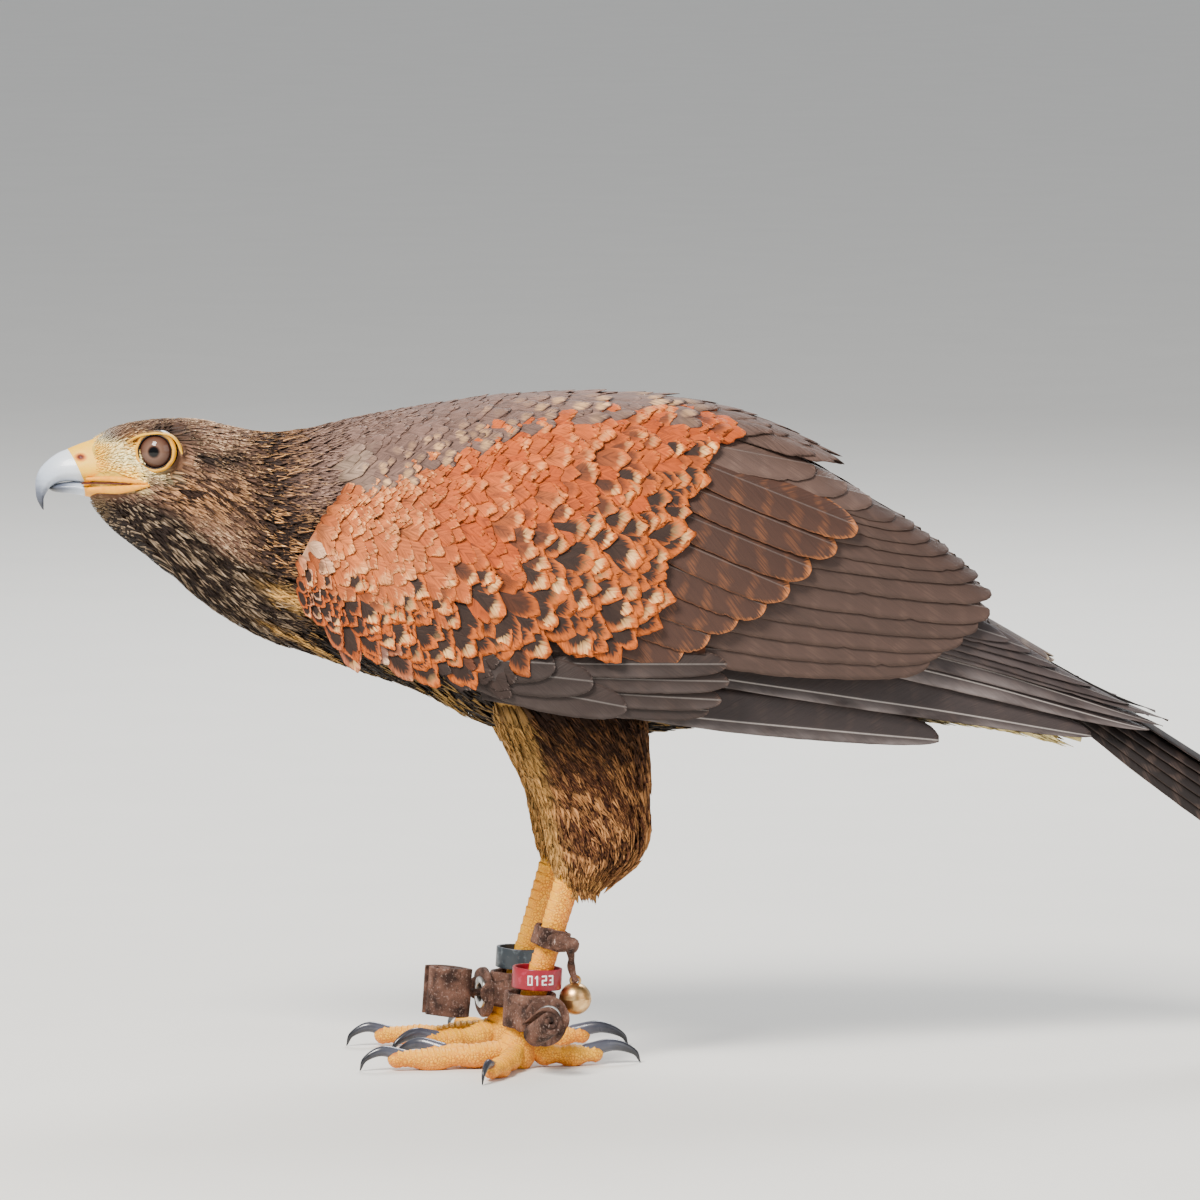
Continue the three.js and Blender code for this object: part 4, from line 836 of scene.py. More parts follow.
def sunk(rings, depth):
    centre = rings.mean(1, keepdims=True)
    reach = np.linalg.norm(rings - centre, axis=2, keepdims=True)
    return rings + (centre - rings) / reach * np.minimum(depth, reach * 0.5)


def marked(shape, marksOf, luck):
    made = marksOf(shape[0], np.full(len(shape[0]), luck))
    return shape[0], shape[1], shape[2], {"dark": made.dark, "light": made.light}


def trunkShell():
    x = np.concatenate([np.linspace(-205.5, -150, 60), np.linspace(-148, 196, 120)])
    xs, angles = np.meshgrid(x, np.linspace(np.pi, -np.pi, 120, endpoint=False), indexing="ij")
    rings = bodyPoint(xs.ravel(), angles.ravel()).reshape(len(x), -1, 3)
    depth = blend(skin["faceDepth"], skin["bodyDepth"], ease(xs, -196, -120))[..., None]
    return marked(closedStack(sunk(rings, depth)), bodyMarks, 0.6)


def thighShell(side):
    downs, angles = np.meshgrid(np.linspace(2, 79, 40), circle(48), indexing="ij")
    rings = thighPoint(downs.ravel(), angles.ravel(), side).reshape(40, -1, 3)
    return marked(closedStack(sunk(rings, skin["thighDepth"])), thighMarks, 0.5)


# The wing's flesh is a closed plate that follows the wing's surface
def wingShell(arm):
    x = np.linspace(-123, 36, 50) if arm else np.linspace(-90, -36, 20)
    count = 24 if arm else 10
    rings = []
    for one in x:
        start = armStartAt(one)[0] + 0.02 if arm else armEndAt(one)[0]
        share = np.linspace(start, armEndAt(one)[0] if arm else 0.99, count)
        outer = skin["armDepth"] + blend(0.0, 1.6, ease(one, -70, 20)) if arm else skin["handDepth"]
        inner = 14 - 5 * ease(one, 0, 40) if arm else blend(8, 18, ease(one, -92, -20))
        there = np.full(count, one)
        rings.append(np.vstack([wingPoint(there, share, outer + 0 * share),
                                wingPoint(there, share, inner + 0 * share)[::-1]]))
    return marked(closedStack(np.array(rings)), wingMarks, 0.5)


arm, hand = wingShell(True), wingShell(False)
shells = [trunkShell(), thighShell(-1), thighShell(1), arm, otherSide(arm), hand, otherSide(hand)]
paired = [f"{part}_{side}" for part in ("thigh", "wing_arm", "wing_hand") for side in ("left", "right")]
meshPiece("skin", joinShapes(shells), skinFinish, "plumage_brown", "head", "neck", "torso", *paired)
print("hawk: skin")


# Coat of the head, neck and trunk
trunkCoat = {"faceGap": 0.95, "headGap": 1.4, "neckGap": 2.6, "backGap": 4.6,
             "bellyGap": 4.0, "eyeClear": 8.3}


# Neither round the eye, nor on the gape's skin, nor on the cere
def clearOfFace(place, roots):
    x, _, z = place.T
    mouth = (z > 229.6) & (z < 240) & (x < -184.5 - np.abs(z - 235) * 2.2)
    return (fromEye(place) > trunkCoat["eyeClear"]) & ~mouth & (x > -204.8)


# Feathers that point at the eye stop short of its lids
def shortByEye(front, rear):
    def length(p, q, place):
        room = np.maximum(fromEye(place) - trunkCoat["eyeClear"], 0) * 1.2 + 1.4
        room = np.where(place[:, 0] < eyePlace[0] + 3, room, 20)
        return np.minimum(blend(front, rear, ease(place[:, 0], -204, -183 if rear < 6 else -140)), room)
    return length


def headGapAt(p, q):
    gap = blend(trunkCoat["faceGap"], trunkCoat["headGap"], ease(p, -196, -176))
    return gap * (1 + 0.5 * ease(p, -160, -140))


# Not where the folded wing hides the trunk
def besideWing(place, roots):
    x, _, z = place.T
    aside = np.abs(roots[:, 1]) > (armStartAt(x)[0] + 0.14) * np.pi / 2
    return ~(aside & (x > -112) & (z > wingAt(x)[1] + 7))


def belowWing(place, roots):
    return place[:, 2] < wingAt(place[:, 0])[1] + 12


# A coat on head, neck or trunk; the gap is one number or a function of p and q
def bodyCoat(name, pSpan, qSpan, gap, keep, **look):
    gapAt = gap if callable(gap) else lambda p, q: gap + 0 * q
    coat(name, bodyPoint, scatter(bodyPoint, pSpan, qSpan, gapAt, keep), bodyMarks, **look)


allRound = (-np.pi, np.pi)
bodyCoat("coatFace", (-205, -181), allRound, headGapAt, clearOfFace, barbs=3, length=shortByEye(2.2, 5.5),
         width=byX(-204, -183, 0.5, 1.3), depth=0.7, lift=0.25, stray=0.16, form="hair")
bodyCoat("coatHead", (-181, -140), allRound, headGapAt, clearOfFace, barbs=3, length=shortByEye(6.5, 13),
         width=byX(-181, -140, 1.5, 2.6), depth=byX(-181, -140, 1, 2), lift=0.3,
         stray=0.09, form="hair", ragged=0.2)
bodyCoat("coatNeck", (-141, -88), allRound, trunkCoat["neckGap"], besideWing, barbs=7, length=14.5,
         width=byX(-141, -90, 3.4, 6), depth=2.3, lift=0.45, stray=0.09, form="lancet", ragged=0.16)
bodyCoat("coatBack", (-89, 160), (-1.1, 1.1), trunkCoat["backGap"], besideWing, barbs=13,
         length=byX(-90, 0, 17, 28), width=byX(-90, 0, 8, 13), depth=2.6, lift=0.5,
         stray=0.07, form="shield")
bodyCoat("coatBelly", (-89, 176), (1.25, 2 * np.pi - 1.25), trunkCoat["bellyGap"], belowWing, barbs=7,
         length=18, width=7, depth=2.6, lift=0.8, stray=0.12, form="lancet", ragged=0.16)

# Coat of the wings
wingCoat = {"frontGap": 2.7, "rearGap": 9.4, "handGap": 4.6, "scapularGap": 6.2}


def rightWing(x, share):
    return wingPoint(x, share) * [1, -1, 1]


# Feathers are small along the wing's front and on the hand, and grow towards its rear and lower edge
def wingGapAt(p, q):
    grown = 0.8 * ease(p, -112, 0) + 0.55 * ease(q, 0.56, 0.7) * ease(p, -128, -108)
    gap = blend(wingCoat["frontGap"], wingCoat["rearGap"], np.clip(grown, 0, 1))
    return blend(gap, blend(2.4, wingCoat["handGap"], ease(p, -108, -76)),
                 ease(q - armEndAt(p)[0], -0.01, 0.01))


# The arm's coverts stop short of the greater coverts, which are vanes, and the hand's near its wrist
def onArm(place, roots):
    p, q = roots.T
    lowest = armEndAt(p)[0] + 0.005 - 0.085 * ease(p, -104, -50)
    arm = (q > armStartAt(p)[0] - 0.01) & (q < lowest) & (p < 34 - 70 * np.maximum(q - 0.25, 0))
    hand = (q >= armEndAt(p)[0]) & (q < 0.985) & (p < -52)
    return arm | hand


def underScapulars(place, roots):
    p, q = roots.T
    return (q < armStartAt(p)[0] + 0.03) & (p > -124 + 30 * q)


# The lower coverts lean down, less at the rear and on the hand
def wingLean(p, q, place):
    lean = blend(0.02, 0.5, ease(q, 0.4, 0.85)) * (1 - 0.4 * ease(p, -20, 40))
    return lean * (1 - ease(q - armEndAt(p)[0], -0.01, 0.01) * 0.7)


def scapularGapAt(p, q):
    return wingCoat["scapularGap"] * blend(0.7, 1.25, ease(p, -100, 20))


for label, surface in (("Left", wingPoint), ("Right", rightWing)):
    roots = scatter(surface, (-127, 34), (0.1, 0.985), wingGapAt, onArm, 0.36)
    coat("coatWing" + label, surface, roots, wingMarks, barbs=19, depth=2.0, lean=wingLean,
         length=lambda p, q, place: 2.5 * wingGapAt(p, q) + 2.5,
         width=lambda p, q, place: 1.85 * wingGapAt(p, q) + 0.6,
         lift=lambda p, q, place: 0.2 + 0.07 * wingGapAt(p, q), form="shield",
         stray=0.2, ragged=0.16, slotName="plumage_chestnut", hub=wingMiddle)
    roots = scatter(surface, (-122, 62), (0.02, 0.8), scapularGapAt, underScapulars, 0.25)
    coat("coatScapulars" + label, surface, roots, mantleMarks, barbs=19, depth=1.6,
         length=byX(-110, 30, 19, 40), width=byX(-110, 30, 9.5, 17),
         lift=byX(-110, 30, 0.5, 1.2), lean=byX(-100, 20, -0.12, 0.02), form="shield",
         stray=0.07, ragged=0.06, hub=wingMiddle)

# Coat of the thighs, loose and frayed, lying down and back
thighCoat = {"from": 4, "to": 79, "gap": 2.1, "length": 12.5, "width": 3.3, "lean": 0.5}


def thighGapAt(p, q):
    return thighCoat["gap"] * blend(1.25, 0.85, p / 80)  # closer down the leg


def rearward(angle):
    return np.maximum(-np.sin(angle), 0)


def thighLength(p, q, place):
    return thighCoat["length"] * (1 + 0.3 * rearward(q)) * blend(1.1, 0.7, ease(p, 50, 79))


for label, side in (("Left", -1), ("Right", 1)):
    surface = lambda down, angle, side=side: thighPoint(down, angle, side)
    roots = scatter(surface, (thighCoat["from"], thighCoat["to"]), (0, 2 * np.pi), thighGapAt)
    coat("coatThigh" + label, surface, roots, thighMarks, barbs=5, length=thighLength,
         width=thighCoat["width"], depth=1.8, ruffle=0.5,
         lift=lambda p, q, place: 0.8 + 2.2 * rearward(q) ** 2 * (1 - ease(p, 66, 79)),
         lean=lambda p, q, place: -thighCoat["lean"] * np.cos(q) * (1 - ease(p, 60, 79) * 0.5),
         form="lancet", ragged=0.3, stray=0.14, slotName="plumage_buff",
         hub=lambda place, side=side: place * [0, 0, 1] + [-14, side * 28, 0])

# Flight feathers. Each runs straight from root to tip, as [x, z] on the wing and as [run, turn] on the tail.
# A form gives the share of the webs' width along it
vaneForms = {
    "pointed": smoothTable([[0, 0.5], [0.3, 0.9], [0.55, 1], [0.8, 0.86], [0.92, 0.64],
                            [0.98, 0.38], [1, 0.14]]),
    "rounded": smoothTable([[0, 0.5], [0.35, 0.95], [0.7, 1], [0.88, 0.86],
                            [0.96, 0.58], [0.99, 0.32], [1, 0.1]]),
    "rectrix": smoothTable([[0, 0.5], [0.4, 0.9], [0.8, 1], [0.95, 0.98], [0.985, 0.8], [1, 0.35]]),
}
vaneSurfaces = {"wing": (wingPoint, wingShare), "tail": (tailPoint, lambda run, turn: turn)}
vaneMake = {"rows": 40, "columns": 11, "thickness": 0.32, "shaftHeight": 0.26,
            "frayed": 0.012, "split": 0.93}


def vane(surfaceName, feather):
    rows, columns = vaneMake["rows"], vaneMake["columns"]
    at, shareOf = vaneSurfaces[surfaceName]
    root, tip = feather["root"], feather["tip"]
    s = 1 - (1 - np.linspace(0, 1, rows)) ** 1.25
    p = blend(root[0], tip[0], s)
    q = shareOf(p, blend(root[1], tip[1], s))
    stepS, stepQ = 0.02, 0.01
    pNext = blend(root[0], tip[0], s + stepS)
    qNext = shareOf(pNext, blend(root[1], tip[1], s + stepS))
    here = at(p, q)
    stretch = np.linalg.norm(at(p, q + stepQ) - here, axis=1) / stepQ
    way = np.stack([pNext - p, (qNext - q) * stretch], -1)
    way /= np.linalg.norm(way, axis=1)[:, None]
    length = np.concatenate([[0], np.cumsum(np.linalg.norm(np.diff(here, axis=0), axis=1))])
    across = np.linspace(-1, 1, columns)
    form = vaneForms[feather["form"]](s)[0]
    frayed = 1 + chance.normal(0, vaneMake["frayed"], (rows, columns)) * (np.abs(across) > 0.95)
    for row in chance.integers(int(rows * 0.45), rows - 3, feather["splits"]):
        frayed[row, chance.choice([0, -1])] *= vaneMake["split"]
    off = np.where(across > 0, feather["below"], feather["above"]) * across * form[:, None] * frayed
    sink = blend(feather["rootDepth"], feather["depth"], np.minimum(s / feather["settle"], 1))
    shaft = vaneMake["shaftHeight"] * bump(across, 0, 0.08)
    depth = sink[:, None] - across * feather["tilt"] + feather["cup"] * across ** 2 - shaft
    pAt = p[:, None] - way[:, 1:] * off
    qAt = q[:, None] + way[:, :1] * off / stretch[:, None]
    thickness = vaneMake["thickness"] * (1 - 0.75 * across ** 4) * (1 - 0.6 * s[:, None])
    outer = at(pAt.ravel(), qAt.ravel(), depth.ravel())
    inner = at(pAt.ravel(), qAt.ravel(), (depth + thickness).ravel())
    front = gridQuads(rows, columns)
    size = rows * columns
    rim = np.concatenate([np.arange(columns - 1), np.arange(columns - 1, size - 1, columns),
                          np.arange(size - 1, size - columns, -1), np.arange(size - columns, 0, -columns)])
    after = np.roll(rim, -1)
    wall = np.column_stack([after, rim, rim + size, after + size])
    extra = {"lie": np.tile(triples(s[:, None], across, feather["luck"]), (2, 1)),
             "span": np.tile(triples(length[:, None], off, 0.0), (2, 1)),
             "marks": np.tile(feather["marks"], (2 * size, 1))}
    extra.update({key: np.tile(plumage[feather[key]], (2 * size, 1)) for key in ("dark", "light")})
    return np.vstack([outer, inner]), np.vstack([front, front[:, ::-1] + size, wall]), None, extra


vaneUsual = {"below": 9.0, "above": 9.0, "tilt": 0.8, "form": "rounded", "dark": "vane",
             "light": "vaneLight",
             "marks": (0.03, 0.4, 0.0), "cup": 0.4, "settle": 0.3, "splits": 1}


def oneVane(root, tip, depth, rootDepth, **look):
    return {**vaneUsual, "root": root, "tip": tip, "depth": depth, "rootDepth": rootDepth,
            "luck": chance.random(), **look}


# A row whose roots and tips run evenly through the named places, each feather a step deeper than the last
def featherRow(count, roots, tips, depth, rootDepth, step, **look):
    rootLine, tipLine = throughPoints(roots, count)[0], throughPoints(tips, count)[0]
    return [oneVane(rootLine[i], tipLine[i] + chance.normal(0, 0.6, 2), depth + step * i,
                    rootDepth + step * i, **look)
            for i in range(count)]


wingVanes = {
    "greaterDepth": 2.0, "secondaryDepth": 5.0, "handDepth": 2.0, "primaryDepth": 11.0,
    "primaryStep": 0.95, "primaryStepFar": 0.72, "lastDeeper": 1.2,
    # tip x, tip z, root x, slope, web below the shaft, web above it
    "primaries": [
        [163.5, 175, 60, -0.26, 6, 9], [172.7, 171.5, 60, -0.27, 6, 9], [183.8, 166, 60, -0.28, 6, 9],
        [198, 159, 60, -0.28, 6, 9], [213.4, 152.5, 60, -0.275, 6, 10], [229.5, 147.5, 50, -0.26, 6, 10],
        [227, 142.5, 40, -0.255, 6, 10], [221.2, 137.5, 30, -0.248, 6, 11],
        [197.2, 131.5, -4, -0.182, 4.5, 15],
        [134.9, 129.5, -8, -0.13, 5, 14]],
}


def wingFeathers():
    size = wingVanes
    made = featherRow(12, [[30, 260], [24, 256], [24, 236], [24, 206], [24, 173]],
                      [[117.7, 226], [140, 212], [156.6, 192], [146, 178], [129.4, 166]],
                      size["secondaryDepth"], size["secondaryDepth"] + 0.5,
                      0.3, tilt=1.1, below=10.5, above=9)
    made += featherRow(3, [[-6, 262], [6, 258]], [[84, 243], [108, 231]], 2.6, 4.0, 0.8, below=11, above=10,
                       tilt=0.7, marks=(0.06, 0.3, 0.0), dark="rearMantle", light="mantleLight")
    made += featherRow(8, [[10, 256], [8, 242], [2, 221], [-18, 188]],
                       [[100, 219], [88.2, 209], [69, 194], [27, 171]],
                       size["greaterDepth"], 5, 0.3, tilt=1.0, dark="greater",
                       light="buffTip", marks=(0.2, 0.36, 0.0),
                       below=11, above=10)
    made += featherRow(4, [[-46, 168], [-50, 160], [-54, 155]], [[46, 165], [45, 156], [37, 147.5]],
                       size["handDepth"] + 1.6, 5.6, 0.8, below=5.5, above=6.5,
                       marks=(0.1, 0.2, 0.16), dark="hand")
    made += featherRow(3, [[-66, 170], [-62, 163]], [[-24, 168], [-8.4, 160], [3.8, 149.5]],
                       size["handDepth"] - 1.4, 4, 0.8, below=8.5, above=8.5, marks=(0.08, 0.1, 0.12),
                       dark="hand", light="handFrost", form="pointed")
    for i, (x, z, rootX, slope, below, above) in enumerate(size["primaries"]):
        step = blend(size["primaryStep"], size["primaryStepFar"], x / 220)
        depth = size["primaryDepth"] + step * i + (size["lastDeeper"] if i == 9 else 0)
        made.append(oneVane([rootX, z - slope * (x - rootX)], [x, z], depth,
                            size["primaryDepth"] + size["primaryStep"] * i,
                            below=below, above=above, settle=1.0, tilt=1.0, form="pointed", dark="primary",
                            marks=(0.03, 0.3, blend(0.15, 1.0, ease(i, 4, 8)))))
    return made


# Each vane has a cell of its own in the baking map, its outer face below and its inner face above
def vanePiece(name, surfaceName, feathers, mirror, *replaced):
    wide = math.ceil(math.sqrt(len(feathers) / 3))
    high = math.ceil(len(feathers) / wide)
    shapes, maps = [], []
    for i, feather in enumerate(feathers):
        shape = vane(surfaceName, feather)
        lie = shape[3]["lie"]
        uv = np.column_stack([(i % wide + 0.03 + 0.94 * lie[:, 0]) / wide,
                              (i // wide + 0.04 + 0.44 * (lie[:, 1] * 0.5 + 0.5)) / high])
        uv[len(lie) // 2:, 1] += 0.48 / high
        maps.append(uv)
        shapes.append(otherSide(shape) if mirror else shape)
    piece = meshPiece(name, joinShapes(shapes), vaneFinish, "flight_feathers", *replaced, uv=np.vstack(maps))
    print("hawk:", name, len(feathers), "vanes,", 2 * len(piece.data.polygons), "triangles")


feathers = wingFeathers()
vanePiece("wingVanesLeft", "wing", feathers, False)
vanePiece("wingVanesRight", "wing", feathers, True)


def tailFeathers():
    made = []
    for side in (-1, 1):
        for i in range(6):
            turn = 0.16 + i * 0.215
            level = (side + 1) / 2 if i == 0 else i + 1
            made.append(oneVane([50 + i * 1.5, side * turn * 0.9], [tailLength - i * 2.2, side * turn],
                                0.3 + level,
                                1.6 + level * 0.9, below=7.8, above=7.8, tilt=side * 0.3, form="rectrix",
                                dark="tailDark", light="mantleLight", marks=(0.05, 0.3, 0.5), cup=0.2))
    for i, turn in enumerate((-0.75, -0.45, -0.15, 0.15, 0.45, 0.75)):
        made.append(oneVane([36, turn * 0.9], [84 - abs(turn) * 10, turn], -1.0 - (i % 2) * 1.1,
                            2.4 - (i % 2),
                            below=6.5, above=6.5, tilt=0.0, light="cream", marks=(0.16, 0.3, 0.0), cup=0.2))
    return made


vanePiece("tailVanes", "tail", tailFeathers(), False, "tail")

# Bill, cere and the lips of the gape
bill = {
    # top x, top z, bottom x, bottom z, half width
    "upper": [
        [-196, 255.4, -194.5, 234.6, 10.6], [-201.1, 254, -199.5, 234.2, 9.8],
        [-204.8, 252, -203.6, 234.6, 8.8],
        [-209.2, 250.5, -208.4, 235, 8], [-213.7, 248.7, -212.5, 235.5, 7.1],
        [-218.2, 246.9, -215.7, 235.5, 6.1],
        [-222.2, 244.1, -218.6, 234.7, 5.1], [-225.5, 240.5, -221, 233.2, 4.1],
        [-227.1, 236.5, -222.6, 231.2, 3.1],
        [-227.3, 232.4, -223.8, 228.9, 2.2], [-226.7, 228.3, -224, 226.3, 1.3],
        [-224.8, 224.6, -224, 224, 0.4]],
    "lower": [
        [-193, 234, -192, 225.6, 9.6], [-197.9, 234.2, -197.1, 226.9, 9], [-204.8, 234.9, -206, 229.2, 7.7],
        [-210.9, 235.4, -211.7, 230.3, 6.3], [-216.5, 235, -217.3, 230.9, 4.9],
        [-220, 234.2, -220.4, 231.5, 3.5],
        [-221.6, 233.4, -221.8, 232.3, 1.8]],
    "hornStart": (0.245, 0.364),  # share along the bill where horn meets cere, at mouth and ridge
    "lowerHornStart": 0.36,
    # share of the half width that the ridge has, what it gains towards the mouth, and its most
    "fullness": (0.55, 0.75, 1.06),
    "under": 0.012, "nostril": (-209.4, 245.6), "nostrilHalf": (1.9, 1.25), "nostrilDepth": 1.6,
}


# spanAt(high) gives the start and end shares along the bill, high being 0 at its bottom and 1 at its top
def billShape(rows, ridgeUp, spanAt, grow=0.0, count=60, sides=48):
    rows = np.array(rows, float)
    at = smoothTable(np.column_stack([np.linspace(0, 1, len(rows)), rows]))
    a = circle(sides)
    high = (1 + np.sin(a)) / 2
    start, end = spanAt(high)
    t = start + (end - start) * np.linspace(0, 1, count)[:, None] + 0 * a
    topX, topZ, bottomX, bottomZ, halfWidth = (v.reshape(t.shape) for v in at(t.ravel()))
    narrow, growth, widest = bill["fullness"]
    full = np.minimum(widest, narrow + growth * (1 - high if ridgeUp else high))
    x, z = blend(bottomX, topX, high), blend(bottomZ, topZ, high) + grow * np.sin(a) * 0.6
    rings = np.stack([x, (halfWidth + grow) * np.cos(a) * full, z], -1)
    lie = np.vstack([triples(t, np.cos(a), np.sin(a)), [[start.min(), 0, 0], [end.max(), 0, 0]]])
    return closedStack(rings, {"lie": lie})


# Slate at the hooked tip, pale blue-grey towards the base
def hornMaterial(name, darker):
    g = Graph(name)
    toTip, _, up = g.parts("lie")
    grain = g.noise(g.place((1.0, 1.0, 3.0)), 160.0, 4.0)
    flakes = g.noise(g.place(), 900.0, 3.0)
    stops = [(0.0, paint(214, 206, 180)), (0.36, paint(212, 218, 226)), (0.6, paint(184, 194, 210)),
             (0.82, paint(86, 92, 108)), (1.0, paint(28, 29, 36))]
    colour = g.node("ShaderNodeValToRGB", {"stops": stops},
                    [toTip + (grain - 0.5) * 0.2 - up * 0.03 + darker])
    return g.finish(colour=g.brighter(colour, 0.84 + grain * 0.24 + flakes * 0.08),
                    roughness=0.26 + grain * 0.16,
                    normal=g.bumped(grain + flakes * 0.3, 0.2, 0.0005), coat=0.25, specular=0.5)


# Bare waxy skin. A spot is the nostril, with an orange rim and painted shade darkest in its middle, where
# its opening is, and shadeUp paints the brow's shade on the top of the eye's lids
def waxMaterial(name, low, high, spot=None, shadeUp=0.0):
    g = Graph(name)
    spots = g.noise(g.place(), 620.0, 4.0)
    broad = g.noise(g.place(), 110.0, 2.0)
    colour = g.mixed((spots * 0.6 + broad * 0.7 - 0.15).clear(), low, high)
    if spot:
        x, _, z = g.split(g.place())
        middle, half = (np.array(spot) + [shift[[0, 2]], [0, 0]]) * millimetre
        inside = oval(x, z, middle.tolist(), half.tolist())
        colour = g.mixed(inside.rise(-1.4, 0.1), colour, paint(214, 120, 44))
        # Painted shade in the nostril's opening
        colour = g.mixed(inside.rise(0.1, 0.8), colour, paint(92, 28, 12))
    if shadeUp:
        # Painted shade of the brow on the top of the lids
        up = g.parts("lie")[2]
        colour = g.mixed(up.rise(0.45, 0.9) * shadeUp, colour, paint(52, 36, 26))
    return g.finish(colour=colour, roughness=0.46 + spots * 0.16, normal=g.bumped(spots, 0.4, 0.0004),
                    subsurface=0.08, subsurfaceScale=0.002)


hornFinish = hornMaterial("billHorn", 0.0)
lowerHornFinish = hornMaterial("lowerBillHorn", 0.16)
cereFinish = waxMaterial("cereSkin", paint(250, 172, 6), paint(255, 208, 56),
                         (bill["nostril"], bill["nostrilHalf"]))
lipFinish = waxMaterial("lipSkin", paint(234, 134, 2), paint(250, 180, 20))
# The gape strip is painted shade: a dark line in the crack where the mandibles meet
gapeShadeFinish = waxMaterial("gapeShade", paint(60, 20, 14), paint(96, 40, 28))



# Where horn meets skin, at a height on the upper and on the lower bill
def upperEdge(high):
    return blend(*bill["hornStart"], high)


def lowerEdge(high):
    return bill["lowerHornStart"] + 0.06 * high


upperHorn = billShape(bill["upper"], True, lambda high: (upperEdge(high), 1 + 0 * high))
lowerHorn = billShape(bill["lower"], False, lambda high: (lowerEdge(high), 1 + 0 * high))
meshPiece("billUpper", upperHorn, hornFinish, "bill_horn", "bill_upper")
meshPiece("billLower", lowerHorn, lowerHornFinish, "bill_horn", "bill_lower")


# Half width of the head at a height on it
def sideOf(x, z):
    top, bottom, halfWidth, widest, fullness = bodyAt(x)
    middle = blend(top, bottom, widest)
    reach = np.where(z > middle, top - middle, middle - bottom)
    high = np.minimum(np.abs(z - middle) / reach, 1)
    return halfWidth * (1 - high ** fullness) ** (1 / fullness)


# A flat fold of bare skin along the head's side; rows of x, z, half height, how far it stands out
def lipShape(rows):
    rows = np.array(rows, float)
    inward = np.maximum(rows[:, 0], -204)
    y = -sideOf(inward, rows[:, 1]) - rows[:, 3] + 0.9
    y[0] = min(y[0], -7.4)
    sizes = smoothTable(np.column_stack([np.linspace(0, 1, len(rows)), 0 * rows[:, 0] + 1.0, rows[:, 2]]))
    return tube(np.column_stack([rows[:, 0], y, rows[:, 1]]), sizes, 20, 50,
                relief=lambda t, turn: 0.1 * np.sin(t * 50 + np.sin(turn) * 2) * np.cos(turn))


# Skin runs a little way under the horn, and sinks at the nostril
cere = billShape(bill["upper"], True, lambda high: (0 * high, upperEdge(high) + bill["under"]), 0.2, 44)
pit = bump(cere[0][:, 0], bill["nostril"][0], 1.6) * bump(cere[0][:, 2], bill["nostril"][1], 1.05)
cere[0][:, 1] -= np.sign(cere[0][:, 1]) * pit * bill["nostrilDepth"]
meshPiece("cereSkin", cere, cereFinish, "bare_skin", "cere")
upperLip = lipShape([[-207, 237, 0.7, 0.2], [-202, 237.2, 1.0, 0.3], [-196, 237.3, 1.2, 0.4],
                     [-190, 237, 1.0, 0.4],
                     [-183.6, 236.3, 0.4, 0.3]])
lowerLip = lipShape([[-206, 232.6, 1.2, 0.1], [-201, 232.8, 1.5, 0.4], [-195, 233.2, 1.7, 0.5],
                     [-189, 234.2, 1.3, 0.5],
                     [-183, 235.4, 0.6, 0.3]])
throatSkin = billShape(bill["lower"], False, lambda high: (0 * high, lowerEdge(high) + bill["under"]),
                       0.15, 30)
lips = [upperLip, otherSide(upperLip), lowerLip, otherSide(lowerLip), throatSkin]
meshPiece("lipSkin", joinShapes(lips), lipFinish, "bare_skin")
# A dark strip along the mouth line, painted shade in the crack between the mandibles
gape = lipShape([[-209, 235.2, 0.4, -0.2], [-203, 235.4, 0.42, 0.1], [-196, 235.6, 0.4, 0.2],
                 [-190, 235.7, 0.3, 0.1]])
meshPiece("gapeShade", joinShapes([gape, otherSide(gape)]), gapeShadeFinish, "bare_skin")
print("hawk: bill and cere")

# Eyes, lids and the yellow brow
eyes = {"radius": 8.6, "cornea": 0.03, "forwardTurn": 0.3, "irisRadius": 6.7, "sides": 72}
eyeAxis = unit([-math.sin(eyes["forwardTurn"]), -math.cos(eyes["forwardTurn"]), 0.03])


def eyeMaterial():
    g = Graph("wetEye")
    radius, spoke, _ = g.parts("lie")
    fibres = g.noise(g.vector(spoke * 60.0, radius * 3.0, 0.0), 1.0, 3.0)
    stops = [(0.0, paint(3, 3, 5)), (0.25, paint(4, 4, 6)), (0.29, paint(40, 27, 21)),
             (0.42, paint(112, 84, 70)),
             (0.7, paint(92, 66, 53)), (0.88, paint(72, 46, 36)), (0.96, paint(22, 14, 12)),
             (1.0, paint(8, 6, 6))]
    colour = g.node("ShaderNodeValToRGB", {"stops": stops}, [radius + (fibres - 0.5) * 0.06])
    return g.finish(colour=colour, roughness=0.08, coat=0.25, coatRoughness=0.02, specular=0.2)


# Rings of a ball of size 1 about z, tilt running from its top to its bottom
def ballRings(tilt, a):
    level = np.sin(tilt)[:, None]
    return np.stack([level * np.cos(a), level * np.sin(a), np.cos(tilt)[:, None] + 0 * a], -1)


# The cornea stands a little out of the ball
def eyeShape():
    matrix = np.array(Vector(eyeAxis).to_track_quat("Z", "Y").to_matrix())
    tilt, a = np.linspace(0.01, np.pi - 0.01, 48), circle(60)
    out = eyes["radius"] * (1 + eyes["cornea"] * bump(tilt, 0, 0.5))
    rings = out[:, None, None] * ballRings(tilt, a) @ matrix.T + eyePlace
    radius = np.where(tilt > np.pi / 2, 1, np.clip(np.sin(tilt) * eyes["radius"] / eyes["irisRadius"], 0, 1))
    lie = np.vstack([triples(radius[:, None], a / (2 * np.pi), 0.0), [[0, 0, 0], [1, 0, 0]]])
    return closedStack(rings, {"lie": lie})


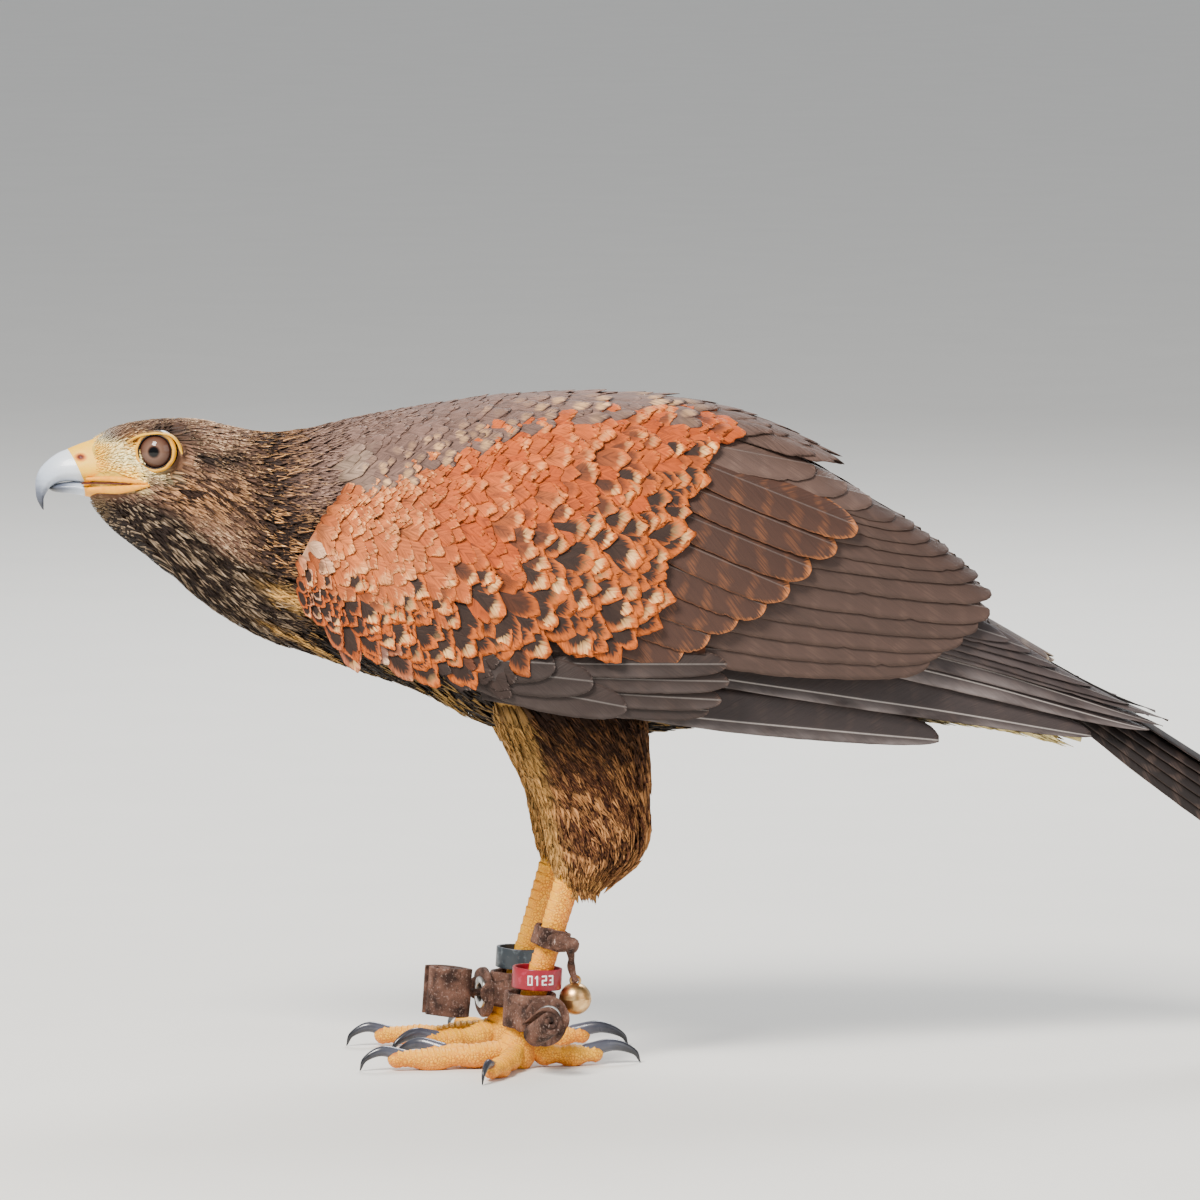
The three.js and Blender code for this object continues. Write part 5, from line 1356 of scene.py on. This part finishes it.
lidProfile = [[6.9, 5.75], [7.3, 4.4], [8.0, 3.2], [8.4, 4.4], [8.4, 5.5], [8.1, 6.3],
              [7.7, 6.6], [7.2, 6.6], [6.95, 6.3]]
rimProfile = [[6.5, 5.7], [6.9, 5.4], [7.1, 6.2], [6.9, 6.75], [6.6, 6.5]]
eyeFinish = eyeMaterial()
lidFinish = waxMaterial("lidSkin", paint(214, 134, 4), paint(244, 184, 32), shadeUp=0.85)
browFinish = waxMaterial("browSkin", paint(218, 144, 10), paint(246, 192, 48))
rimFinish = waxMaterial("lidRim", paint(20, 14, 12), paint(44, 30, 24))
crease = lambda turn, height: (0.1 * np.sin(turn * 11) * (height > 5),
                               0.12 * np.sin(turn * 7) * (height > 5))
lids = turnedRing(lidProfile, eyePlace, eyeAxis, eyes["sides"], crease)
rim = turnedRing(rimProfile, eyePlace, eyeAxis, eyes["sides"])
browLine = np.array([[-191.2, -14.2, 252.2], [-188, -15.6, 254.2], [-184, -17, 255.5],
                     [-178.6, -18.2, 256.1],
                     [-173.8, -18.8, 254.9], [-171, -19.6, 251.8], [-169.8, -20.6, 248]])
brow = tube(browLine, smoothTable([[0, 0.4, 0.3], [0.25, 1.7, 0.6], [0.55, 2.4, 0.62],
                                   [0.8, 1.6, 0.5], [1, 0.4, 0.3]]), 20, 60)
bothSides = (("left", lambda shape: shape), ("right", otherSide))
for side, flip in bothSides:
    meshPiece("eyeball_" + side, flip(eyeShape()), eyeFinish, "eye", "eye_" + side)
    meshPiece("lids_" + side, flip(lids), lidFinish, "bare_skin", "eyelids_" + side)
    meshPiece("lidRim_" + side, flip(rim), rimFinish, "bare_skin")
meshPiece("browSkin", joinShapes([brow, otherSide(brow)]), browFinish, "bare_skin")
print("hawk: eyes")

# Legs, toes and claws
legs = {
    "spread": 30, "top": (-12.4, 88), "foot": (-35.6, 11.2), "tarsusHeights": (5, 11, 40, 88),
    "scute": 2.4, "scuteHeight": 0.5, "clear": 0.02,
    # toe: direction from the foot, length, half sizes, claw length, claw half size
    "toes": {
        "middle": ((-1, -0.06), 50, (4.5, 4.3), 21, 2.5), "outer": ((-0.42, -1), 38, (4, 3.9), 17, 2.2),
        "inner": ((-0.95, 0.42), 36, (4.3, 4.2), 24, 2.9), "hind": ((1, 0.14), 31, (4.3, 4.2), 27, 3)},
}


def tarsusPoint(z):
    t = (z - legs["foot"][1]) / (legs["top"][1] - legs["foot"][1])
    return np.array([blend(legs["foot"][0], legs["top"][0], t), -legs["spread"], z])


# Yellow leg skin: broad plates across the front and small round scales elsewhere
def scaleMaterial():
    g = Graph("legScales")
    along, _, over = g.parts("lie")
    small = g.cells(g.place(), 820.0)
    broad = g.noise(g.place(), 60.0, 3.0)
    fine = g.noise(g.place(), 900.0, 3.0)
    front = over.rise(0.2, 0.7)
    seam = (1.0 - small.rise(0.0, 0.16)) * (1.0 - front * 0.7)
    cut = (1.0 - along.fraction() / 0.16).clear() * front
    colour = g.mixed((broad * 1.4 - 0.25).clear(), paint(255, 190, 26), paint(248, 150, 8))
    colour = g.mixed(seam.most(cut) * 0.8, colour, paint(176, 84, 8))
    # Painted shade: darker orange on the rear of the legs and under the toes
    colour = g.mixed((0.0 - over).rise(0.1, 0.9) * 0.6, colour, paint(214, 106, 44))
    colour = g.mixed(fine.rise(0.56, 0.74) * 0.3, colour, paint(255, 216, 120))
    relief = g.bumped(small.rise(0.0, 0.22) * (1.0 - front * 0.6) - cut * 0.8, 0.6, 0.0004)
    return g.finish(colour=colour, roughness=0.5 + fine * 0.18, normal=relief,
                    subsurface=0.05, subsurfaceScale=0.002)


def clawMaterial():
    g = Graph("clawHorn")
    along = g.parts("lie")[0]
    grain = g.noise(g.place((1.0, 1.0, 0.4)), 300.0, 3.0)
    colour = g.mixed((along * 1.1 + grain * 0.4).clear(), paint(96, 98, 112), paint(26, 27, 33))
    return g.finish(colour=colour, roughness=0.22 + grain * 0.16, coat=0.4,
                    normal=g.bumped(grain, 0.15, 0.0004))


scaleFinish = scaleMaterial()
clawFinish = clawMaterial()


# Scutes lap down the front or top; each rises towards its far edge
def plates(count, height):
    def relief(t, turn):
        front = np.clip(np.sin(turn), 0, 1) ** 0.6
        lap = ((t * count) % 1.0) ** 1.4
        pebble = 0.22 * np.sin(turn * 8) * np.sin(t * count * 7) * (1 - front)
        return height * (front * (lap - 0.45) + pebble)
    return relief


def onGround(shape):
    shape[0][:, 2] = np.maximum(shape[0][:, 2], legs["clear"])
    return shape


def tarsusShape():
    path = [tarsusPoint(z) for z in legs["tarsusHeights"]]
    sizes = smoothTable([[0, 7.8, 8.2], [0.07, 6.4, 7.2], [0.18, 4.9, 5.6],
                         [0.45, 4, 4.9], [0.8, 4.2, 5.2], [1, 4.4, 5.4]])
    count = round((legs["tarsusHeights"][-1] - legs["tarsusHeights"][0]) / legs["scute"] / 1.5)
    return onGround(tube(path, sizes, 32, 190, (-1, 0, 0), plates(count, legs["scuteHeight"]), count))


def toeSpot(away, distance, z):
    way = unit(away)
    return [legs["foot"][0] + way[0] * distance, -legs["spread"] + way[1] * distance, z]


def toeShape(away, length, half):
    high = half[1]
    path = [toeSpot(away, -2, 7.5), toeSpot(away, 3, 8), toeSpot(away, length * 0.35, high + 1.2),
            toeSpot(away, length * 0.7, high - 0.2), toeSpot(away, length, high + 0.5)]
    count = round(length / legs["scute"])
    scutes = plates(count, legs["scuteHeight"])
    joints = lambda t: 0.1 * np.sin(t * np.pi * 6 + 0.6)
    sizes = lambda t: [size * (1 + joints(t)) * blend(1, 0.8, ease(t, 0.85, 1)) for size in half]
    pads = lambda t, turn: scutes(t, turn) + np.clip(-np.sin(turn), 0, 1) ** 2 * 5 * joints(t)
    return onGround(tube(path, sizes, 32, 130, relief=pads, scutes=count))


def clawShape(away, length, half, reach, thick):
    high = half[1]
    path = [toeSpot(away, length - 3, high + 1.6), toeSpot(away, length + reach * 0.28, high + 3.6),
            toeSpot(away, length + reach * 0.6, high + 0.6), toeSpot(away, length + reach * 0.7, 0.5)]
    sizes = smoothTable([[0, thick * 0.85, thick], [0.4, thick * 0.7, thick * 0.85],
                         [0.8, thick * 0.34, thick * 0.42],
                         [1, 0.25, 0.3]])
    return tube(path, sizes, 24, 60)


for side, flip in bothSides:
    meshPiece("tarsusSkin_" + side, flip(tarsusShape()), scaleFinish, "leg_scales", "tarsus_" + side)
    for name, (away, length, half, reach, thick) in legs["toes"].items():
        node = f"{name}_{side}"
        meshPiece("toeSkin_" + node, flip(toeShape(away, length, half)), scaleFinish,
                  "leg_scales", "toe_" + node)
        claw = flip(clawShape(away, length, half, reach, thick))
        meshPiece("clawHorn_" + node, claw, clawFinish, "claw_horn", "claw_" + node)
print("hawk: legs")

# What it wears on its legs
gear = {
    "upright": (0.06, 0, 1),
    "redRing": {"z": 36.4, "height": 8.4, "inner": 8.9, "outer": 10, "shiftX": -0.6,
                "figures": "0123", "figureHeight": 3.4, "figureStep": 1.9},
    "darkRing": {"z": 36.2, "height": 8.4, "inner": 8.2, "outer": 9.4, "shiftX": -2},
    "anklet": {"z": 23.5, "height": 14, "inner": 8.5, "outer": 10.4},
    "tab": {"radius": 10.2, "thickness": 2.4, "reach": 13.4, "hole": 4.9, "eyelet": 6.5,
            "endSpread": 8.4, "endIn": 4.8, "endUp": 0.6, "endLength": 8, "stemIn": 1.6, "stemOut": 3.4},
    "leftRoll": {"place": (-29.3, -57.3, 19.8), "axis": (0.35, -0.8, 0.45),
                 "wide": 7, "deep": 7, "length": 15},
    "rightRoll": {"place": (-60.2, 23.4, 23.5), "axis": (0.08, 0.0, 1), "wide": 11.9,
                  "deep": 6.8, "length": 19.6},
    "bewit": {"z": 52.5, "height": 8, "inner": 5.9, "outer": 7.6, "knot": (4.0, -10.2, -0.8),
              "knotHalf": (5.6, 3.2, 3.4)},
    "bell": {"place": (-13.2, -30.5, 27.6), "radius": 6.5, "seam": 0.02, "slitDepth": 1.6,
             "loop": 1.9, "wire": 0.55},
}


def leatherMaterial():
    g = Graph("wornLeather")
    grain = g.cells(g.place(), 1400.0)
    wear = g.noise(g.place(), 150.0, 5.0)
    fine = g.noise(g.place(), 1100.0, 4.0)
    creases = g.noise(g.place((1.0, 1.0, 0.25)), 520.0, 3.0)
    raised = g.node("ShaderNodeNewGeometry", output="Pointiness").rise(0.5, 0.57)
    colour = g.mixed(wear.rise(0.36, 0.66), paint(48, 31, 25), paint(122, 88, 74))
    colour = g.mixed((raised * 0.7 + fine.rise(0.56, 0.74) * 0.5).clear() * 0.8,
                     colour, paint(196, 168, 156))
    colour = g.mixed((1.0 - creases.rise(0.34, 0.42)) * 0.6, colour, paint(40, 28, 24))
    height = grain.rise(0.0, 0.25) * 0.4 + fine * 0.4 + creases * 0.8
    return g.finish(colour=colour, roughness=0.68 + wear * 0.2, normal=g.bumped(height, 0.8, 0.0006),
                    specular=0.3)


def metalMaterial(name, low, high, rough):
    g = Graph(name)
    scratches = g.noise(g.place((1.0, 1.0, 8.0)), 500.0, 4.0)
    stain = g.noise(g.place(), 260.0, 4.0)
    inside = g.parts("lie")[2]
    colour = g.mixed(stain.rise(0.3, 0.7), low, high)
    # Painted shade in the bell's slit, standing in for its dark hollow inside; only the slit's lie falls
    # below -1.5
    colour = g.mixed((0.0 - inside - 1.5).rise(0.0, 0.3), colour, paint(24, 18, 12))
    return g.finish(colour=colour, metallic=1.0, roughness=rough + scratches * 0.2,
                    normal=g.bumped(scratches, 0.08, 0.0003))


def ringMaterial(name, base, worn):
    g = Graph(name)
    scuff = g.noise(g.place(), 420.0, 5.0)
    colour = g.mixed(scuff.rise(0.56, 0.76) * 0.5, base, worn)
    return g.finish(colour=colour, roughness=0.34 + scuff * 0.24, coat=0.2,
                    normal=g.bumped(scuff, 0.1, 0.0004))


leatherFinish = leatherMaterial()
brassFinish = metalMaterial("bellBrass", paint(176, 124, 70), paint(236, 196, 138), 0.22)
eyeletFinish = metalMaterial("eyeletMetal", paint(130, 130, 128), paint(222, 222, 218), 0.2)
redFinish = ringMaterial("ringRed", paint(138, 6, 34), paint(196, 70, 96))
darkRingFinish = ringMaterial("ringDark", paint(46, 54, 60), paint(120, 130, 136))
figureFinish = ringMaterial("ringFigures", paint(236, 232, 230), paint(206, 190, 192))


# A band's cut through, with rounded corners
def bandProfile(inner, outer, height, corner):
    half = height / 2
    steps = np.linspace(0, np.pi / 2, 4)
    made = []
    for (r, h), turn in (((outer, half), 0), ((inner, half), 1), ((inner, -half), 2), ((outer, -half), 3)):
        r += corner * (1 if r == inner else -1)
        h += corner * (-1 if h > 0 else 1)
        a = steps + turn * np.pi / 2
        made += [[r + corner * np.cos(v), h + corner * np.sin(v)] for v in a]
    return made[::-1]


# Leather isn't even: its thickness and its cut edges wander
def handCut(amount, seed):
    phase = np.random.default_rng(seed).uniform(0, 6, 4)
    return lambda turn, height: (
        amount * (np.sin(turn * 3 + phase[0]) + 0.6 * np.sin(turn * 8 + phase[1])),
        amount * 1.4 * (np.sin(turn * 2 + phase[2]) + 0.5 * np.sin(turn * 7 + phase[3])) * np.sign(height))


# A strip wound up on itself; the cut through is a flat spiral, wide by deep
def rollShape(size, turns=2.4, thick=1.9):
    axis = unit(size["axis"])
    level = unit(np.array([1, 0, 0]) - axis * axis[0])
    matrix = np.column_stack([level, np.cross(axis, level), axis])
    t = np.linspace(0, 1, 150)
    a = t * turns * 2 * np.pi
    share = blend(0.2, 1, t)
    stations = np.array([-0.5, -0.47, -0.3, -0.1, 0.1, 0.3, 0.47, 0.5])
    rings = []
    for spread, turn, one in zip(share, a, t):
        bow = 0.5 * np.sin(turn * 1.7 + stations * 5) + 0.3 * np.sin(turn * 4.1 - stations * 9)
        edge = size["length"] * stations * (1 + 0.02 * np.sin(turn * 2.3))
        outward = np.array([np.cos(turn), np.sin(turn)])
        radius = (np.array([size["wide"], size["deep"]]) - 0.5 + 0.25 * bow[:, None]) * spread
        skinOut = outward * radius
        skinIn = outward * (radius - thick * min(1, (1 - one) * 14 + 0.3))
        rings.append(np.vstack([np.column_stack([skinOut, edge]), np.column_stack([skinIn, edge])[::-1]]))
    rings = np.array(rings) @ matrix.T + np.array(size["place"])
    return closedStack(rings)


def legMiddle(z, side):
    return tarsusPoint(z) * [1, side, 1]


for side, sign, seed, away, tabZ in (("left", 1, 3, (0.423, -0.906), 20.5),
                                     ("right", -1, 8, (-0.97, -0.24), 22.6)):
    size, tab = gear["anklet"], gear["tab"]
    middle = legMiddle(size["z"], sign)
    way = np.array([*unit(away), 0])
    profile = bandProfile(size["inner"], size["outer"], size["height"], 0.7)
    band = turnedRing(profile, middle, gear["upright"], 96, handCut(0.16, seed))
    spot = np.array([middle[0], middle[1], 0]) + way * tab["reach"] + [0, 0, tabZ]
    disc = turnedRing(bandProfile(tab["hole"], tab["radius"], tab["thickness"], 0.6),
                      spot, way, 80, handCut(0.12, seed + 1))
    parts = [band, disc]
    sideways = np.array([-way[1], way[0], 0]) * tab["endSpread"]
    for end in (-1, 1):
        start = spot - way * (tab["reach"] - tab["endIn"]) + sideways * end + [0, 0, tab["endUp"]]
        sizes = lambda t: [0 * t + 1.1, 5 + 0.3 * np.sin(t * 6)]
        parts.append(tube([start + way * tab["endLength"] * share for share in (0, 0.5, 1)], sizes, 16, 16))
    meshPiece("ankletLeather_" + side, joinShapes(parts), leatherFinish, "leather", "anklet_" + side)
    washer = bandProfile(tab["hole"] - 1.2, tab["eyelet"], tab["thickness"] + 1.4, 0.5)
    meshPiece("eyeletMetal_" + side, turnedRing(washer, spot, way, 64), eyeletFinish,
              "eyelet_metal", "eyelet_" + side)
    roll = gear[side + "Roll"]
    path = [spot - way * tab["stemIn"], spot + way * tab["stemOut"], np.array(roll["place"])]
    stem = tube(path, evenly(1.8, 1.5), 14, 20)
    button = joinShapes([rollShape(roll), stem])
    meshPiece("rolledButton_" + side, button, leatherFinish, "leather", "jess_button_" + side)



def ringShape(size, side):
    middle = legMiddle(size["z"], side) + [size["shiftX"], 0, 0]
    return turnedRing(bandProfile(size["inner"], size["outer"], size["height"], 0.35),
                      middle, gear["upright"], 96)


# The rings, and generic figures standing on the red one
meshPiece("redRing", ringShape(gear["redRing"], 1), redFinish, "ring_red", "leg_ring_left")
meshPiece("darkRing", ringShape(gear["darkRing"], -1), darkRingFinish, "ring_dark", "leg_ring_right")

figureStrokes = {
    "0": [[(0, 0), (1, 0), (1, 2), (0, 2), (0, 0)]], "1": [[(0.5, 0), (0.5, 2), (0.1, 1.6)]],
    "2": [[(0, 2), (1, 2), (1, 1), (0, 1), (0, 0), (1, 0)]],
    "3": [[(0, 2), (1, 2), (1, 0), (0, 0)], [(0.3, 1), (1, 1)]],
}


def ringFigures():
    size = gear["redRing"]
    middle = legMiddle(size["z"], 1) + [size["shiftX"], 0, 0]
    shapes = []
    for place, figure in enumerate(size["figures"]):
        for stroke in figureStrokes[figure]:
            stroke = np.array(stroke, float)
            across = (stroke[:, 0] + place * size["figureStep"] - 3.3) * size["figureHeight"] / 2 * 0.9
            turn = -np.pi / 2 + across / size["outer"] + 0.05
            path = np.column_stack([middle[0] + np.cos(turn) * size["outer"],
                                    middle[1] + np.sin(turn) * size["outer"],
                                    middle[2] + (stroke[:, 1] / 2 - 0.5) * size["figureHeight"]])
            for a, b in zip(path[:-1], path[1:]):
                shapes.append(tube([a, (a + b) / 2, b], evenly(0.34, 0.34), 8, 6, up=(0.3, 1, 0.2)))
    return joinShapes(shapes)


meshPiece("ringFigures", ringFigures(), figureFinish, "ring_red")


def bewitShapes():
    size = gear["bewit"]
    lean = unit(tarsusPoint(60) - tarsusPoint(20))
    middle = tarsusPoint(size["z"])
    profile = bandProfile(size["inner"], size["outer"], size["height"], 0.6)
    band = turnedRing(profile, middle, lean, 72, handCut(0.2, 12))
    knot = middle + np.array(size["knot"])
    halfX, halfY, halfZ = size["knotHalf"]
    path = [knot + [-halfX * 0.6, 0.8, 0.9], knot + [0, -0.4, 0.3], knot + [halfX * 0.6, 0.6, -1.2]]
    sizes = lambda t: [halfY * (0.86 + 0.14 * np.sin(t * 9)), halfZ * (0.9 + 0.1 * np.sin(t * 7))]
    lump = tube(path, sizes, 24, 30, relief=lambda t, turn: 0.35 * np.sin(turn * 3 + t * 5))
    fold = tube([knot + [-halfX * 0.7, -1.2, 2.2], knot + [-1, -2.8, 1.6], knot + [halfX * 0.5, -2.2, -1.4]],
                lambda t: [0 * t + 1.0, 1.5 - t * 0.4], 14, 24)
    bell = np.array(gear["bell"]["place"])
    reach = gear["bell"]["radius"]
    strap = tube([knot + [2.4, 1, -1], knot + [3.6, 3, -6], bell + [-1.6, -0.6, reach + 6],
                  bell + [0, 0, reach + 0.6]],
                 lambda t: [1.5 + 0.2 * np.sin(t * 12), 0.75 + 0.1 * np.sin(t * 17)], 14, 40, up=(0.2, 1, 0))
    return joinShapes([band, lump, fold, strap])


meshPiece("bewitLeather", bewitShapes(), leatherFinish, "leather", "bewit")


# A brass bell with a raised seam, a slit below with painted shade in it, and a loop on top
def bellShape():
    size = gear["bell"]
    tilt = np.linspace(0.02, np.pi - 0.02, 70)
    ball = ballRings(tilt, circle(96))
    y, z = ball[..., 1], ball[..., 2]
    slit = (1 - ease(np.abs(y) * size["radius"], 0.45, 0.75)) * (1 - ease(z, -0.25, -0.1))
    radius = size["radius"] * (1 + size["seam"] * bump(tilt, np.pi / 2, 0.05))
    out = radius[:, None] - slit * size["slitDepth"]
    # The lie's third part drops in the slit, where the brass shader paints shade
    lie = np.vstack([triples(0, 0, z - slit * 3), [[0, 0, 1], [0, 0, -1]]])
    sphere = closedStack(out[..., None] * ball + np.array(size["place"]), {"lie": lie})
    wire = [[size["loop"] + size["wire"] * np.cos(v), size["wire"] * np.sin(v)] for v in -circle(10)]
    loop = turnedRing(wire, np.array(size["place"]) + [0, 0, size["radius"] + 0.9], (0.2, 1, 0), 32)
    loop[3]["lie"][:] = 0
    return joinShapes([sphere, loop])


meshPiece("bellBrass", bellShape(), brassFinish, "bell_brass", "bell")
print("hawk: worn pieces")

# Floor, light and camera
studio = {
    "floor": paint(226, 224, 218), "floorSize": 40, "airColour": (0.92, 0.95, 1.0, 1), "air": 0.6,
    # lamp: place, size, power, colour
    "lamps": {
        "keySoft": ((-1.2, -1.4, 2.1), 0.9, 142, (1.0, 0.96, 0.9)),
        "fillSoft": ((1.4, -1.5, 0.9), 1.4, 13, (1.0, 0.98, 0.96)),
        "rimSoft": ((0.5, 1.6, 1.6), 1.0, 44, (0.96, 0.98, 1.0))},
    "lampAim": (0, 0, 0.18),
    "distance": 4.0, "azimuth": -6.0, "elevation": 6.0, "frameWidth": 0.4839, "lookAt": (0.0, 0.0, 185.3),
    "sensor": 36,
}
bpy.ops.mesh.primitive_plane_add(size=studio["floorSize"], location=(0, 0, 0))
floor = bpy.context.object
floor.name = "studioFloor"
g = Graph("paleFloor")
dust = g.noise(g.place(), 14.0, 4.0)
floor.data.materials.append(g.finish(colour=g.brighter(studio["floor"], 0.97 + dust * 0.06), roughness=0.85))

world = bpy.data.worlds.new("studioAir")
bpy.context.scene.world = world
world.use_nodes = True
air = world.node_tree.nodes["Background"].inputs
air[0].default_value = studio["airColour"]
air[1].default_value = studio["air"]

for name, (place, size, power, colour) in studio["lamps"].items():
    light = bpy.data.lights.new(name, "AREA")
    light.size, light.energy, light.color = size, power, colour
    lamp = bpy.data.objects.new(name, light)
    lamp.location = place
    lamp.rotation_mode = "QUATERNION"
    lamp.rotation_quaternion = (Vector(studio["lampAim"]) - Vector(place)).to_track_quat("-Z", "Y")
    bpy.context.scene.collection.objects.link(lamp)

camera = bpy.data.objects.new("camera", bpy.data.cameras.new("camera"))
bpy.context.scene.collection.objects.link(camera)
bpy.context.scene.camera = camera
a, e = math.radians(studio["azimuth"]), math.radians(studio["elevation"])
back = Vector((math.sin(a) * math.cos(e), -math.cos(a) * math.cos(e), math.sin(e)))
camera.data.sensor_width = studio["sensor"]
camera.data.lens = studio["sensor"] * studio["distance"] / studio["frameWidth"]
camera.data.clip_start, camera.data.clip_end = 0.05, 60
camera.rotation_mode = "QUATERNION"
camera.rotation_quaternion = (-back).to_track_quat("-Z", "Y")
camera.location = Vector((np.array(studio["lookAt"]) + shift) * millimetre) + back * studio["distance"]
